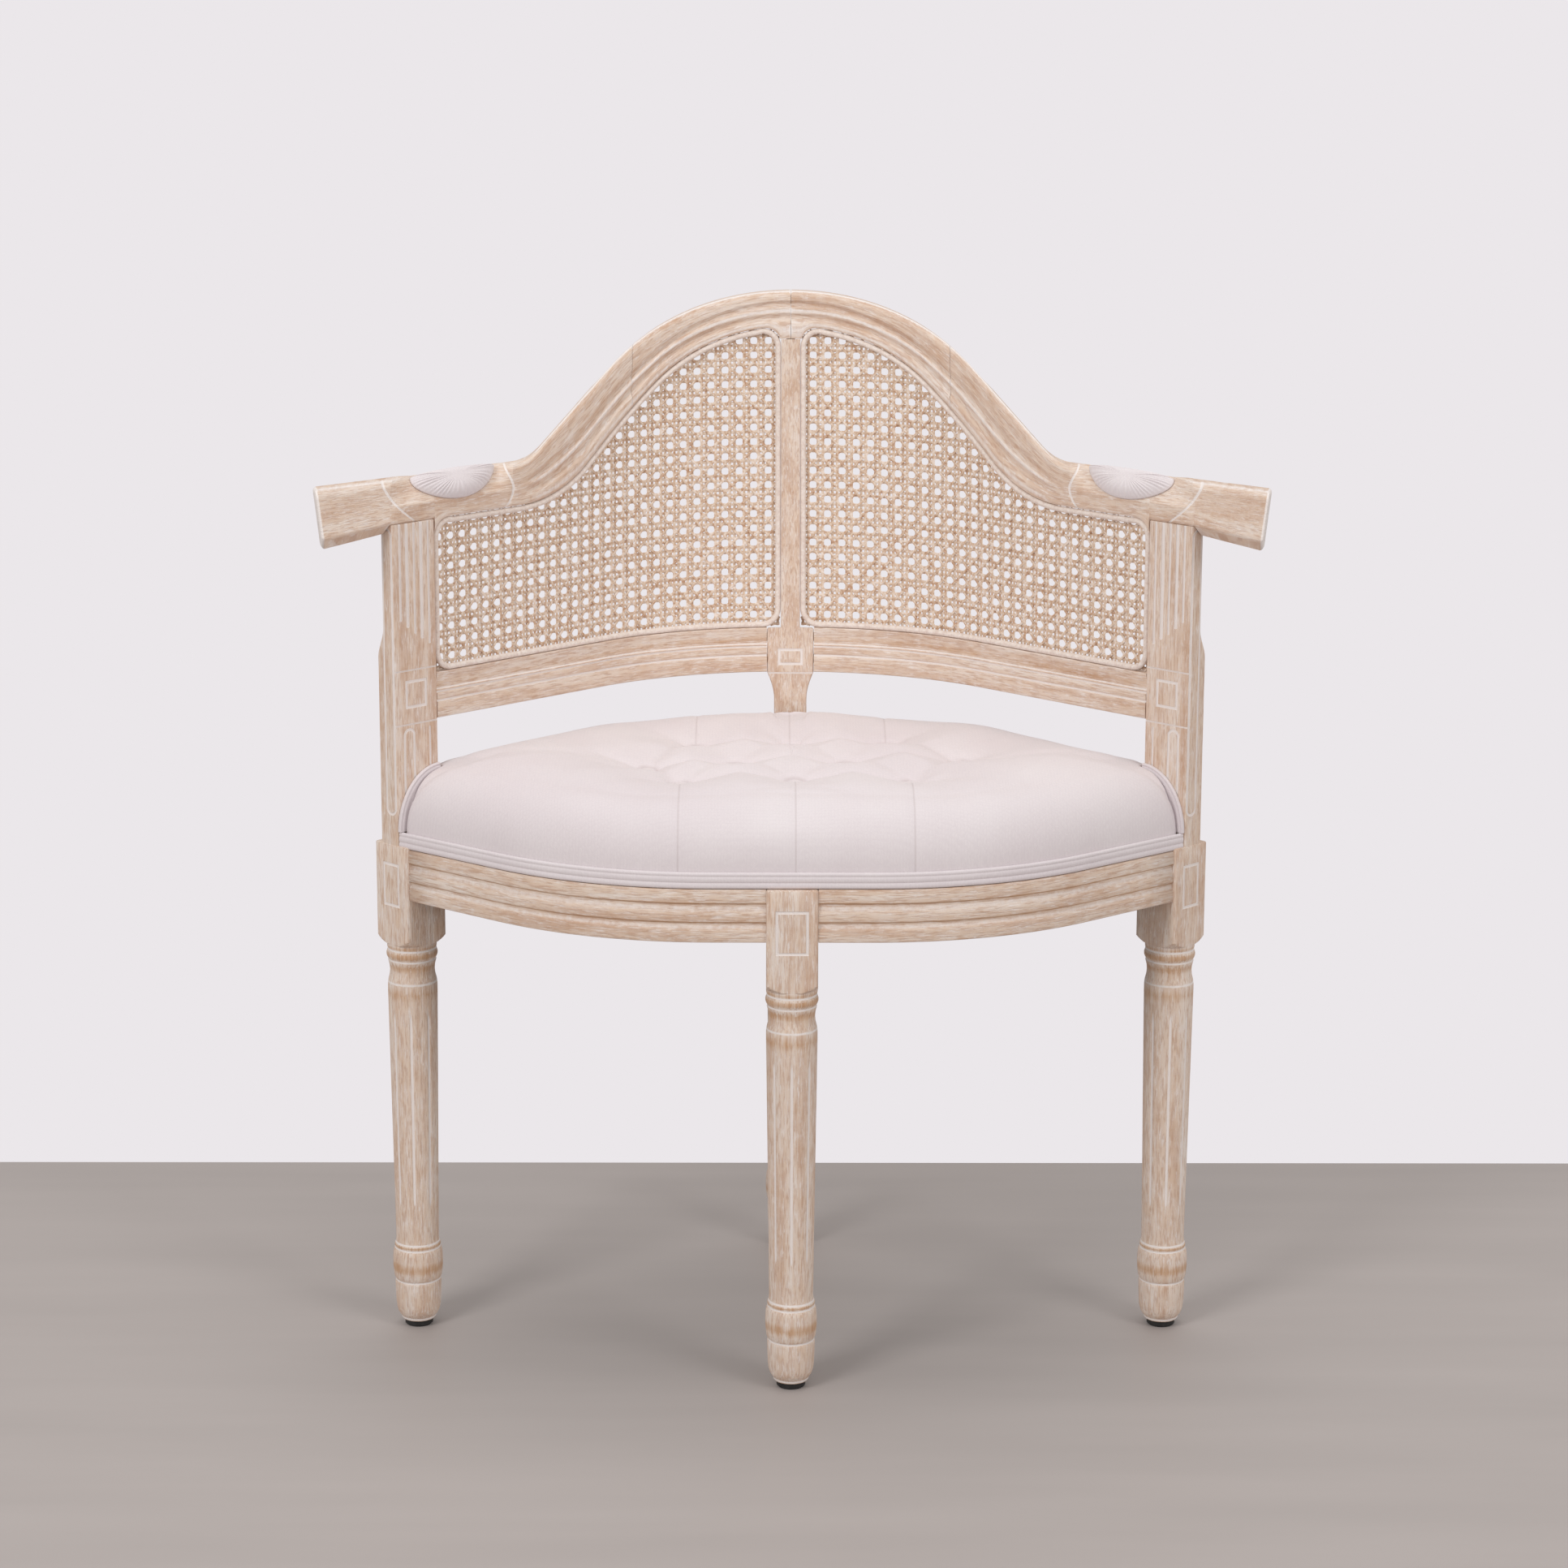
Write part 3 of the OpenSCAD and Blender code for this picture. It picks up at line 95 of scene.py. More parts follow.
# Where the crest's mouldings fade out, and the two lines that are cut across each arm
FADE_FROM, FADE_TO, BOW_S, SLANT_S = 252.0, 276.0, 285.0, 391.4
# The cushion: its rounded edge's height and reach, its buttons' spacing and wells, and its pins
ROLL_Z, EDGE_SHARE, ROLL_FRONT, ROLL_REAR = WELT_Z + 14.0, 0.8, 48.0, 24.0
BUTTON_X, BUTTON_Y, BUTTON_WELL, PIN_Z, PIN_R = 95.0, 66.0, 24.0, 452.0, 9.0
MESH_IN = 4.2
GLIDE_LOW, GLIDE_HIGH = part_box("left_glide")
SHIFT = (GLIDE_LOW.y + GLIDE_HIGH.y) / 2 / MM
# The photograph's side, the lens's length and its shift in its pixels, and the camera's place
PHOTO_SIDE, PHOTO_LENS, PHOTO_SHIFT, SENSOR = 1932, 4424.7, -103.5, 36.0
CAMERA_AT, CAMERA_PITCH, CAMERA_YAW, CAMERA_ROLL = (-17.8, -2946.75, 1161.9), 0.2040, 0.00386, 0.00222
# The floor in metres, whose back edge is the photographed room's wall line
FLOOR_WIDE, FLOOR_LONG, FLOOR_BACK = 16.0, 10.0, 0.355


def placed(p):
    """A source point in millimetres as a scene point in metres."""
    return Vector((p[0], p[1] + SHIFT, p[2])) * MM


def linear(hex_colour):
    """An sRGB hex colour as linear values."""
    parts = [int(hex_colour[i : i + 2], 16) / 255 for i in (1, 3, 5)]
    return [c / 12.92 if c <= 0.04045 else ((c + 0.055) / 1.055) ** 2.4 for c in parts]


def ramp(v, a, b):
    """How far v is from a to b, from 0 to 1."""
    return min(1.0, max(0.0, (v - a) / (b - a)))


def soft_ramp(v, a, b):
    """A ramp that is eased at both ends."""
    t = ramp(v, a, b)
    return t * t * (3 - 2 * t)


def between(a, b, share):
    """The point at a share of the way from one point to another."""
    return tuple(p + (q - p) * share for p, q in zip(a, b))


def dent(v, middle, half):
    """A rounded groove's depth across it, from 1 at its middle to 0 at half its width."""
    t = abs(v - middle) / half
    return 0.0 if t >= 1 else (1 - t * t) ** 2


# The back: s runs along its front face from the middle, n goes back into the wood


def turn(s):
    """How far the back has turned towards the side at s."""
    return min(math.pi / 4, s / BACK_R)


def back_point(s, z, n=0.0):
    """The left-hand point of the back at s, z and n."""
    a = turn(s)
    if s < ARC_S:
        x, y = BACK_R * math.sin(a), BACK_REAR_Y - BACK_R * (1 - math.cos(a))
    else:
        x = (BACK_R + s - ARC_S) / ROOT2
        y = BACK_LINE - BACK_R / ROOT2 - (s - ARC_S) / ROOT2
    if y > POST_Y:
        y += (y - POST_Y) * (z - BACK_Z) * math.tan(RAKE) / (BACK_REAR_Y - POST_Y)
    return (-x - n * math.sin(a), y + n * math.cos(a), z)


def hill(s, top, base, share_1, share_2, foot):
    """Height at s of a round hill with a hollow foot, whose radii are shares of the widest one."""
    widest = (foot * foot + (top - base) ** 2) / (2 * (top - base))
    r1, r2 = share_1 * widest, share_2 * widest
    h = top - base - r1 - r2
    a = math.atan2(h, foot) + math.asin((r1 + r2) / math.hypot(foot, h))
    s1, s2 = r1 * math.sin(a), foot - r2 * math.sin(a)
    if s <= s1:
        return top - r1 + math.sqrt(r1 * r1 - s * s)
    if s <= s2:
        return top - r1 * (1 - math.cos(a)) - (s - s1) * math.tan(a)
    if s < foot:
        return base + r2 - math.sqrt(r2 * r2 - (foot - s) ** 2)
    return base


def crest_up(s):
    """The upper edge of the crest and arm."""
    return hill(s, CREST_TOP, ARM_TOP, 0.753, 0.1355, POST_S - 107.6)


def crest_edge(s):
    """The lower edge of the crest and arm, before its fillets."""
    drop = 6 * ramp(s, POST_FOOT_S, ARM_END_S)
    return hill(s, CREST_LOW, ARM_Z, 0.568, 0.3415, POST_S - 120.6) - drop


def crest_low(s):
    """The crest's lower edge, which comes down in a small fillet at the stile and at the post."""
    reach = SPLINE_BEND + SPLINE_INSET
    post = POST_S - POST_IN - s
    d = reach - (max(0.0, s - STILE_W / 2) if s < 200 or post < 0 else post)
    if d <= 0:
        return crest_edge(s)
    return crest_edge(s) - min(11.0, reach - math.sqrt(max(0.0, reach * reach - d * d)))


# Meshes: a grid primitive whose columns follow a section and whose rows follow a path


def nothing_selected():
    """Leaves edit mode and deselects everything."""
    if bpy.context.object and bpy.context.object.mode != "OBJECT":
        bpy.ops.object.mode_set(mode="OBJECT")
    bpy.ops.object.select_all(action="DESELECT")


def only(piece):
    """Selects one piece and makes it active."""
    nothing_selected()
    piece.select_set(True)
    bpy.context.view_layer.objects.active = piece


def edit(piece, *steps):
    """Runs mesh operators on the whole of a piece in edit mode."""
    only(piece)
    bpy.ops.object.mode_set(mode="EDIT")
    bpy.ops.mesh.select_mode(type="VERT")
    for name, settings in steps:
        if name == "select_boundary":
            bpy.ops.mesh.select_all(action="DESELECT")
            bpy.ops.mesh.select_non_manifold(
                extend=False, use_wire=False, use_boundary=True,
                use_multi_face=False, use_non_contiguous=False, use_verts=False,
            )
            continue
        if settings.pop("all", True):
            bpy.ops.mesh.select_all(action="SELECT")
        getattr(bpy.ops.mesh, name)(**settings)
    bpy.ops.object.mode_set(mode="OBJECT")


def smooth(piece, degrees=40):
    """Shades a piece smooth, apart from edges sharper than an angle."""
    only(piece)
    bpy.ops.object.shade_smooth_by_angle(angle=math.radians(degrees))


def sweep(name, rings, looped=False, capped=True, open_section=False, lime=None, degrees=40, offset=0.0):
    """A skin through rings of millimetre points, with a "grain" UV map in metres along and
    round it, and the attribute "lime" where white pigment stays; its values below zero brown
    the wood, as worn unpasted wood and as painted shade."""
    rows = [list(r) if open_section else list(r) + [r[0]] for r in rings]
    if looped:
        rows.append(rows[0])
    count = len(rows[0])
    nothing_selected()
    bpy.ops.mesh.primitive_grid_add(x_subdivisions=count - 1, y_subdivisions=len(rows) - 1, size=1)
    piece = bpy.context.object
    piece.name = piece.data.name = name
    mesh = piece.data
    points = [placed(p) for row in rows for p in row]
    mesh.vertices.foreach_set("co", [c for p in points for c in p])
    along = [0.0]
    for i in range(1, len(rows)):
        k = max(range(count), key=lambda j: (points[i * count + j] - points[(i - 1) * count + j]).length)
        along.append(along[-1] + (points[i * count + k] - points[(i - 1) * count + k]).length)
    around = [0.0]
    middle = len(rows) // 2 * count
    for j in range(1, count):
        around.append(around[-1] + (points[middle + j] - points[middle + j - 1]).length)
    uv = mesh.uv_layers[0]
    uv.name = "grain"
    for loop in mesh.loops:
        i, j = divmod(loop.vertex_index, count)
        uv.data[loop.index].uv = (along[i] + offset, around[j])
    pigment = mesh.attributes.new("lime", "FLOAT", "POINT")
    if lime:
        shares = [lime(i, j % len(rings[0])) for i in range(len(rows)) for j in range(count)]
        pigment.data.foreach_set("value", shares)
    steps = [("remove_doubles", {"threshold": 1e-6})]
    if capped and not looped:
        steps += [("select_boundary", {}), ("fill_holes", {"sides": 0, "all": False})]
    if not open_section:
        steps += [("normals_make_consistent", {"inside": False})]
    edit(piece, *steps)
    smooth(piece, degrees)
    return piece


def mirrored(piece, name):
    """The right-hand twin of a left-hand piece, with its own mesh and nothing declared of it yet."""
    twin = piece.copy()
    for declared in list(twin.keys()):
        del twin[declared]
    twin.data = piece.data.copy()
    twin.name = twin.data.name = name
    bpy.context.collection.objects.link(twin)
    for v in twin.data.vertices:
        v.co.x = -v.co.x
    twin.data.flip_normals()
    for layer in twin.data.uv_layers:
        for loop in layer.data:
            loop.uv = (loop.uv[0] + 1.37, loop.uv[1] + 0.53)
    return twin


def joined(name, *pieces):
    """Joins pieces into one object, the first of them."""
    nothing_selected()
    for p in pieces:
        p.select_set(True)
    bpy.context.view_layer.objects.active = pieces[0]
    if len(pieces) > 1:
        bpy.ops.object.join()
    whole = bpy.context.object
    whole.name = whole.data.name = name
    return whole


def dress(piece, material, slot, *nodes):
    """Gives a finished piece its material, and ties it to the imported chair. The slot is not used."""
    if material and not piece.data.materials:
        piece.data.materials.append(material)
    for node in nodes:
        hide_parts(node)
    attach(piece, "root")
    return piece


def dress_both(left, material, slot, node):
    """Finishes a left-hand piece and its right-hand twin."""
    dress(left, material, slot, node)
    twin = mirrored(left, left.name.replace("left", "right"))
    dress(twin, material, slot, node.replace("left", "right"))


def round_box(width, depth, radius, steps=3):
    """Points round a rectangle with rounded corners, centred on the origin."""
    points = []
    for k, (sx, sy) in enumerate([(1, 1), (-1, 1), (-1, -1), (1, -1)]):
        for i in range(steps + 1):
            a = math.radians(90 * (k + i / steps))
            points.append((
                sx * (width / 2 - radius) + radius * math.cos(a),
                sy * (depth / 2 - radius) + radius * math.sin(a),
            ))
    return points


# Cutters for the carved lines: each is drawn in X and Z round the origin and cuts along Y


def frame_cutter(width, height, line, depth):
    """A rectangular line."""
    nothing_selected()
    bpy.ops.mesh.primitive_plane_add(size=1, rotation=(math.pi / 2, 0, 0))
    cutter = bpy.context.object
    cutter.scale = (width * MM, height * MM, 1)
    bpy.ops.object.transform_apply(location=False, rotation=True, scale=True)
    bpy.ops.object.mode_set(mode="EDIT")
    bpy.ops.mesh.select_all(action="SELECT")
    bpy.ops.mesh.inset(thickness=line * MM, depth=0)
    bpy.ops.mesh.delete(type="ONLY_FACE")
    bpy.ops.object.mode_set(mode="OBJECT")
    thickened(cutter, 2 * depth * MM)
    return cutter


def slot_cutter(width, length, depth):
    """An upright slot with round ends."""
    nothing_selected()
    bpy.ops.mesh.primitive_circle_add(
        vertices=24, radius=width / 2 * MM, fill_type="NGON", rotation=(math.pi / 2, 0, 0)
    )
    cutter = bpy.context.object
    bpy.ops.object.transform_apply(location=False, rotation=True, scale=True)
    for v in cutter.data.vertices:
        if abs(v.co.z) > 1e-9:
            v.co.z += math.copysign((length - width) / 2 * MM, v.co.z)
    if depth:
        thickened(cutter, 2 * depth * MM)
    return cutter


def ring_cutter(width, length, line, depth):
    """A slot's outline only, for a channel whose edges are cut and limed."""
    cutter = slot_cutter(width, length, 0)
    edit(
        cutter,
        ("inset", {"thickness": line * MM, "depth": 0}),
        ("delete", {"type": "ONLY_FACE", "all": False}),
    )
    thickened(cutter, 2 * depth * MM)
    return cutter


def thickened(piece, depth):
    """Gives a flat piece a thickness, half to each side."""
    only(piece)
    m = piece.modifiers.new("depth", "SOLIDIFY")
    m.thickness, m.offset = depth, 0
    bpy.ops.object.modifier_apply(modifier=m.name)


def carve(piece, cutters, pigment):
    """Cuts each cutter out of a piece, and leaves the pigment's material in the grooves."""
    for cutter in cutters:
        cutter.data.materials.clear()
        cutter.data.materials.append(pigment)
        only(piece)
        m = piece.modifiers.new("carving", "BOOLEAN")
        m.operation, m.solver, m.material_mode = "DIFFERENCE", "EXACT", "TRANSFER"
        m.object = cutter
        bpy.ops.object.modifier_apply(modifier=m.name)
        bpy.data.objects.remove(cutter, do_unlink=True)
        if not piece.data.vertices:
            raise RuntimeError("nothing is left of " + piece.name)
    smooth(piece, 30)


def moved(piece, matrix):
    """Moves a piece's mesh, and leaves its object at the origin."""
    piece.data.transform(matrix)
    return piece


def block_frame(side):
    """From a leg block's own square, X along the back rail and Y out, to the chair."""
    x = {"front": 0, "rear": 0, "left": -SIDE_X, "right": SIDE_X}[side]
    y = {"front": -FRONT_REACH, "rear": REAR_REACH}.get(side, 0)
    angle = {"left": 45, "right": -45}.get(side, 0)
    return Matrix.Translation(placed((x, y, 0))) @ Matrix.Rotation(math.radians(angle), 4, "Z")


# Materials


class Nodes:
    """A material's node tree, with one function that adds a node."""

    def __init__(self, name, **shader):
        self.material = bpy.data.materials.new(name)
        self.material.use_nodes = True
        self.tree = self.material.node_tree
        self.shader = self.tree.nodes["Principled BSDF"]
        for key, value in shader.items():
            self.shader.inputs[key.replace("_", " ")].default_value = value

    def add(self, kind, links=None, values=None, **settings):
        node = self.tree.nodes.new("ShaderNode" + kind)
        for key, value in settings.items():
            setattr(node, key, value)
        for key, value in (values or {}).items():
            node.inputs[key].default_value = value
        for key, source in (links or {}).items():
            self.tree.links.new(source, node.inputs[key])
        return node

    def link(self, source, name):
        """Links a source to one of the shader's inputs."""
        self.tree.links.new(source, self.shader.inputs[name])


def stops(node, *pairs):
    """Sets a colour ramp's stops from (place, colour) pairs."""
    band = node.color_ramp
    while len(band.elements) < len(pairs):
        band.elements.new(0.5)
    for element, (place, colour) in zip(band.elements, pairs):
        element.position = place
        element.color = (*colour, 1)


def limed_wood(name, on_uv, looks, pigment=0.0):
    """Open-pored hardwood, sawn and wire-brushed, then rubbed with white liming paste: matt and
    peach-tan, with short brown and white dashes along the grain, a patchy white bloom, and more
    paste where the attribute "lime" is above zero, or brown wood where it is below, which is
    unpasted wood on worn beads and painted shade in the mouldings' coves and under their bands."""
    n = Nodes(name, Roughness=0.62, IOR=1.46)
    place = n.add("TexCoord").outputs["UV" if on_uv else "Object"]
    # Streaks 11 mm wide and 0.12 m long, and dashes 1.1 to 1.4 mm wide and 12 to 15 mm long, which
    # is twice the real pores' width, because they wouldn't show otherwise
    scales = {"streak": (8, 90), "dash": (70, 720), "pore": (85, 880)}
    grain = {}
    for key, (lengthways, across) in scales.items():
        scale = (lengthways, across, 1) if on_uv else (across, across, lengthways)
        at = n.add("Mapping", {"Vector": place}, {"Scale": scale, "Location": (3.1, 5.7, 1.3)}).outputs[0]
        noise_at = n.add("TexNoise", {"Vector": at}, {"Scale": 1.0, "Detail": 2.5, "Distortion": 0.4})
        grain[key] = noise_at.outputs["Fac"]
    bloom = n.add("TexNoise", {"Vector": place}, {"Scale": 60.0, "Detail": 6.0, "Roughness": 0.75})
    speck = n.add("TexNoise", {"Vector": place}, {"Scale": 210.0, "Detail": 3.0, "Roughness": 0.6})
    tone = n.add("ValToRGB", {"Fac": grain["streak"]})
    stops(tone, (0.30, looks.wood_dark), (0.50, looks.wood_mid), (0.72, looks.wood_light))
    streak = {"From Min": 0.48, "From Max": 0.62, "To Max": 0.68}
    dashes = n.add("MapRange", {"Value": grain["dash"]}, streak)
    pores = n.add("MapRange", {"Value": grain["pore"]}, {"From Min": 0.50, "From Max": 0.60})
    patchy = {"From Min": 0.38, "From Max": 0.64, "To Min": 0.35, "To Max": 0.8}
    haze = n.add("MapRange", {"Value": bloom.outputs["Fac"]}, patchy)
    paste_and_shade = n.add("Attribute", attribute_name="lime", attribute_type="GEOMETRY").outputs["Fac"]
    # Below zero the attribute browns the wood: worn unpasted wood on the legs' beads, and painted shade in
    # the rails' and crest's mouldings
    bare_and_shaded = n.add("Math", {0: paste_and_shade}, {1: -1.0}, operation="MULTIPLY", use_clamp=True)
    dashed = {0: dashes.outputs[0], 6: tone.outputs[0]}
    body = n.add("Mix", dashed, {7: (*looks.wood_dash, 1)}, data_type="RGBA")
    rubbed = {0: bare_and_shaded.outputs[0], 6: body.outputs[2]}
    brown = n.add("Mix", rubbed, {7: (*looks.wood_dark, 1)}, data_type="RGBA")
    pored = n.add("Math", {0: pores.outputs[0], 1: haze.outputs[0]}, operation="MULTIPLY")
    thin = n.add("Math", {0: haze.outputs[0]}, {1: 0.48}, operation="MULTIPLY")
    most = n.add("Math", {0: pored.outputs[0], 1: thin.outputs[0]}, operation="MAXIMUM")
    left_on = {0: most.outputs[0], 1: bare_and_shaded.outputs[0]}
    open_wood = n.add("Math", left_on, operation="SUBTRACT", use_clamp=True)
    worn = n.add("Math", {0: speck.outputs["Fac"]}, {1: -1.2}, operation="MULTIPLY")
    paste = n.add("Math", {0: paste_and_shade, 2: worn.outputs[0]}, {1: 2.3}, operation="MULTIPLY_ADD", use_clamp=True)
    both = n.add("Math", {0: open_wood.outputs[0], 1: paste.outputs[0]}, operation="MAXIMUM")
    share = n.add("Math", {0: both.outputs[0]}, {1: pigment}, operation="ADD", use_clamp=True)
    whitened = {0: share.outputs[0], 6: brown.outputs[2]}
    colour = n.add("Mix", whitened, {7: (*looks.liming, 1)}, data_type="RGBA")
    n.link(colour.outputs[2], "Base Color")
    relief = n.add("Math", {0: dashes.outputs[0], 1: pores.outputs[0]}, operation="SUBTRACT")
    bump = n.add("Bump", {"Height": relief.outputs[0]}, {"Strength": 0.4, "Distance": 0.0004})
    n.link(bump.outputs[0], "Normal")
    return n.material


def linen_cloth(name, looks, seams=()):
    """Plain-woven linen and cotton upholstery cloth in off-white: matt with a faint sheen, and a
    weave of 0.5 mm threads that is drawn at 2.6 mm, because it wouldn't show otherwise."""
    n = Nodes(name, Roughness=0.92, IOR=1.45)
    n.shader.inputs["Sheen Weight"].default_value = 0.25
    n.shader.inputs["Sheen Roughness"].default_value = 0.5
    place = n.add("TexCoord").outputs["Object"]
    thread = {"Scale": 120.0, "Distortion": 5.0, "Detail": 3.0, "Detail Scale": 2.5}
    threads = [
        n.add("TexWave", {"Vector": place}, thread, bands_direction=axis).outputs["Fac"]
        for axis in ("X", "Y")
    ]
    weave = n.add("Math", {0: threads[0], 1: threads[1]}, operation="MULTIPLY")
    slub = n.add("TexNoise", {"Vector": place}, {"Scale": 420.0, "Detail": 3.0})
    soil = n.add("TexNoise", {"Vector": place}, {"Scale": 9.0, "Detail": 3.0})
    shade = n.add("ValToRGB", {"Fac": soil.outputs["Fac"]})
    stops(shade, (0.3, looks.linen_shade), (0.7, looks.linen))
    mixed = n.add("Math", {0: weave.outputs[0], 1: slub.outputs["Fac"]}, operation="ADD")
    speck = n.add("ValToRGB", {"Fac": mixed.outputs[0]})
    stops(speck, (0.35, (0.965, 0.96, 0.965)), (0.9, (1, 1, 1)))
    both = {6: shade.outputs[0], 7: speck.outputs[0]}
    flat = n.add("Mix", both, {0: 1.0}, data_type="RGBA", blend_type="MULTIPLY")
    # Painted shade: the cloth is darker in its deep pleats, in a ring round each button and along each
    # stitched seam's line
    crease = n.add("Attribute", attribute_name="crease", attribute_type="GEOMETRY")
    dark, height = crease.outputs["Fac"], mixed.outputs[0]
    if seams:
        at = n.add("SeparateXYZ", {"Vector": place}).outputs
        # Each seam's line is darkened with painted shade, and sunk a little in the bump
        for x, y, towards in seams:
            off = n.add("Math", {0: at[0]}, {1: x}, operation="SUBTRACT")
            off = n.add("Math", {0: off.outputs[0]}, operation="ABSOLUTE")
            near = {"From Min": 0.0010, "From Max": 0.0003, "To Max": 0.34}
            line = n.add("MapRange", {"Value": off.outputs[0]}, near)
            side = "GREATER_THAN" if towards > 0 else "LESS_THAN"
            past = n.add("Math", {0: at[1]}, {1: y}, operation=side)
            line = n.add("Math", {0: line.outputs[0], 1: past.outputs[0]}, operation="MULTIPLY")
            dark = n.add("Math", {0: dark, 1: line.outputs[0]}, operation="MAXIMUM").outputs[0]
            deep = n.add("Math", {0: line.outputs[0]}, {1: 8.0}, operation="MULTIPLY")
            height = n.add("Math", {0: height, 1: deep.outputs[0]}, operation="SUBTRACT").outputs[0]
    colour = n.add("Mix", {0: dark, 6: flat.outputs[2]}, {7: (*looks.linen_crease_shade, 1)}, data_type="RGBA")
    n.link(colour.outputs[2], "Base Color")
    bump = n.add("Bump", {"Height": height}, {"Strength": 0.25, "Distance": 0.0003})
    n.link(bump.outputs[0], "Normal")
    return n.material


def rattan_cane(name, looks, gloss=0.5, white=0.0):
    """Split rattan peel, stripped and woven damp: straw-coloured with darker lengths, a hard skin
    with a soft gloss, and fine fibres along each strand."""
    n = Nodes(name, Roughness=gloss, IOR=1.5)
    place = n.add("TexCoord").outputs["Object"]
    patch = n.add("TexNoise", {"Vector": place}, {"Scale": 260.0, "Detail": 3.0, "Roughness": 0.75})
    tone = n.add("ValToRGB", {"Fac": patch.outputs["Fac"]})
    stops(tone, (0.34, looks.cane_dark), (0.50, looks.cane), (0.64, looks.cane_light))
    paste = n.add("Mix", {6: tone.outputs[0]}, {0: white, 7: (*looks.liming, 1)}, data_type="RGBA")
    n.link(paste.outputs[2], "Base Color")
    fine = n.add("TexNoise", {"Vector": place}, {"Scale": 1400.0, "Detail": 2.0})
    bump = n.add("Bump", {"Height": fine.outputs["Fac"]}, {"Strength": 0.3, "Distance": 0.0003})
    n.link(bump.outputs[0], "Normal")
    return n.material


def plain_material(name, colours, scale, roughness, metallic=0.0, depth=0.0002):
    """A finish of two near tones, mottled at the given scale per metre, with a fine relief."""
    n = Nodes(name, Roughness=roughness, Metallic=metallic)
    place = n.add("TexCoord").outputs["Object"]
    mottle = n.add("TexNoise", {"Vector": place}, {"Scale": scale, "Detail": 4.0})
    tone = n.add("ValToRGB", {"Fac": mottle.outputs["Fac"]})
    stops(tone, (0.35, linear(colours[0])), (0.65, linear(colours[1])))
    n.link(tone.outputs[0], "Base Color")
    bump = n.add("Bump", {"Height": mottle.outputs["Fac"]}, {"Strength": 0.3, "Distance": depth})
    n.link(bump.outputs[0], "Normal")
    return n.material


def finishes():
    """The chair's materials by name, made once."""
    if "limed ash, grain upright" not in bpy.data.materials:
        looks = bpy.context.scene.chair_looks
        limed_wood("limed ash, grain upright", False, looks)
        limed_wood("limed ash, grain along", True, looks)
        limed_wood("liming paste in carving", False, looks, pigment=1.0)
        linen_cloth("off-white linen", looks)
        linen_cloth("off-white linen, seamed", looks, [
            (BUTTONS[i][0] * MM, (BUTTONS[i][1] + SHIFT) * MM, 1 if i < 3 else -1) for i, _ in SEAMS
        ])
        rattan_cane("woven rattan cane", looks)
        rattan_cane("rattan spline, limed", looks, 0.6, 0.62)
        # Sawn softwood and plywood under the seat, left raw
        plain_material("raw sawn pine", ("#cbb08a", "#e0caa8"), 60, 0.75)
        # Zinc-plated steel screws
        plain_material("zinc-plated steel", ("#8f9092", "#a9aaab"), 300, 0.35, 1.0)
        # Moulded black nylon glides, scuffed
        plain_material("moulded black nylon", ("#1d1c1c", "#2b2a2a"), 240, 0.5)
        # Spun-bonded black dust cloth
        plain_material("spun-bonded dust cloth", ("#191919", "#292828"), 900, 0.9)
    return bpy.data.materials


# Settings


def colour_setting(name, text, default):
    """A colour that the panel offers, from an sRGB hex value."""
    return FloatVectorProperty(
        name=name, description=text, subtype="COLOR", size=3, min=0, max=1, default=linear(default)
    )


def length_setting(name, text, default):
    """A length that the panel offers, from millimetres."""
    return FloatProperty(
        name=name, description=text, default=default * MM, min=0.0, unit="LENGTH", precision=4
    )


class ChairLooks(bpy.types.PropertyGroup):
    wood_dark: colour_setting("Wood, dark", "Darkest streaks of the wood", "#c89d79")
    wood_mid: colour_setting("Wood", "Body colour of the wood", "#e0c3a9")
    wood_light: colour_setting("Wood, light", "Lightest streaks of the wood", "#ecdccd")
    wood_dash: colour_setting("Wood, dashes", "Brown dashes along the grain", "#bc8c66")
    liming: colour_setting("Liming", "White pigment in pores and carving", "#f4ebe6")
    linen: colour_setting("Linen", "Upholstery cloth", "#e8e0e1")
    linen_shade: colour_setting("Linen, shaded", "Duller patches of the cloth", "#e2d8da")
    # Painted shade in the cloth's pleats, round its buttons and along its seams
    linen_crease_shade: colour_setting("Linen, creased", "Creases and seams of the cloth", "#bfb1af")
    cane: colour_setting("Cane", "Woven cane", "#dfc6ae")
    cane_dark: colour_setting("Cane, dark", "Browner lengths of cane", "#bd9070")
    cane_light: colour_setting("Cane, light", "Paler lengths of cane", "#f3e4d8")
    floor: colour_setting("Floor", "Floor under the chair", "#b9b0ac")
    backdrop: colour_setting("Backdrop", "Backdrop behind the chair", "#ebe7ea")


class ChairSizes(bpy.types.PropertyGroup):
    flute_width: length_setting("Flute width", "Width of a leg's flutes", 3.2)
    flute_depth: length_setting("Flute depth", "Depth of a leg's flutes", 1.1)
    carve_depth: length_setting("Carving depth", "Depth of the carved lines", 0.6)
    carve_width: length_setting("Carving width", "Width of the carved lines", 2.5)
    cane_pitch: length_setting("Cane pitch", "Spacing of the cane's open meshes", 12.7)
    strand_width: length_setting("Strand width", "Width of a cane strand", 2.4)
    strand_thickness: length_setting("Strand thickness", "Thickness of a cane strand", 0.7)
    tuft_depth: length_setting("Tuft depth", "Depth of the seat's buttoned tufts", 19)
    swell: length_setting("Swell", "Most that the cushion's cloth may swell in the simulation", 5)
    button_radius: length_setting("Button radius", "Radius of a covered button", 8)
    pad_height: length_setting("Pad height", "Height of an arm pad over its seat", 9.5)
    turning_steps: IntProperty(
        name="Turning steps", description="Facets round a turned leg", default=160, min=48, max=320
    )


# Operators


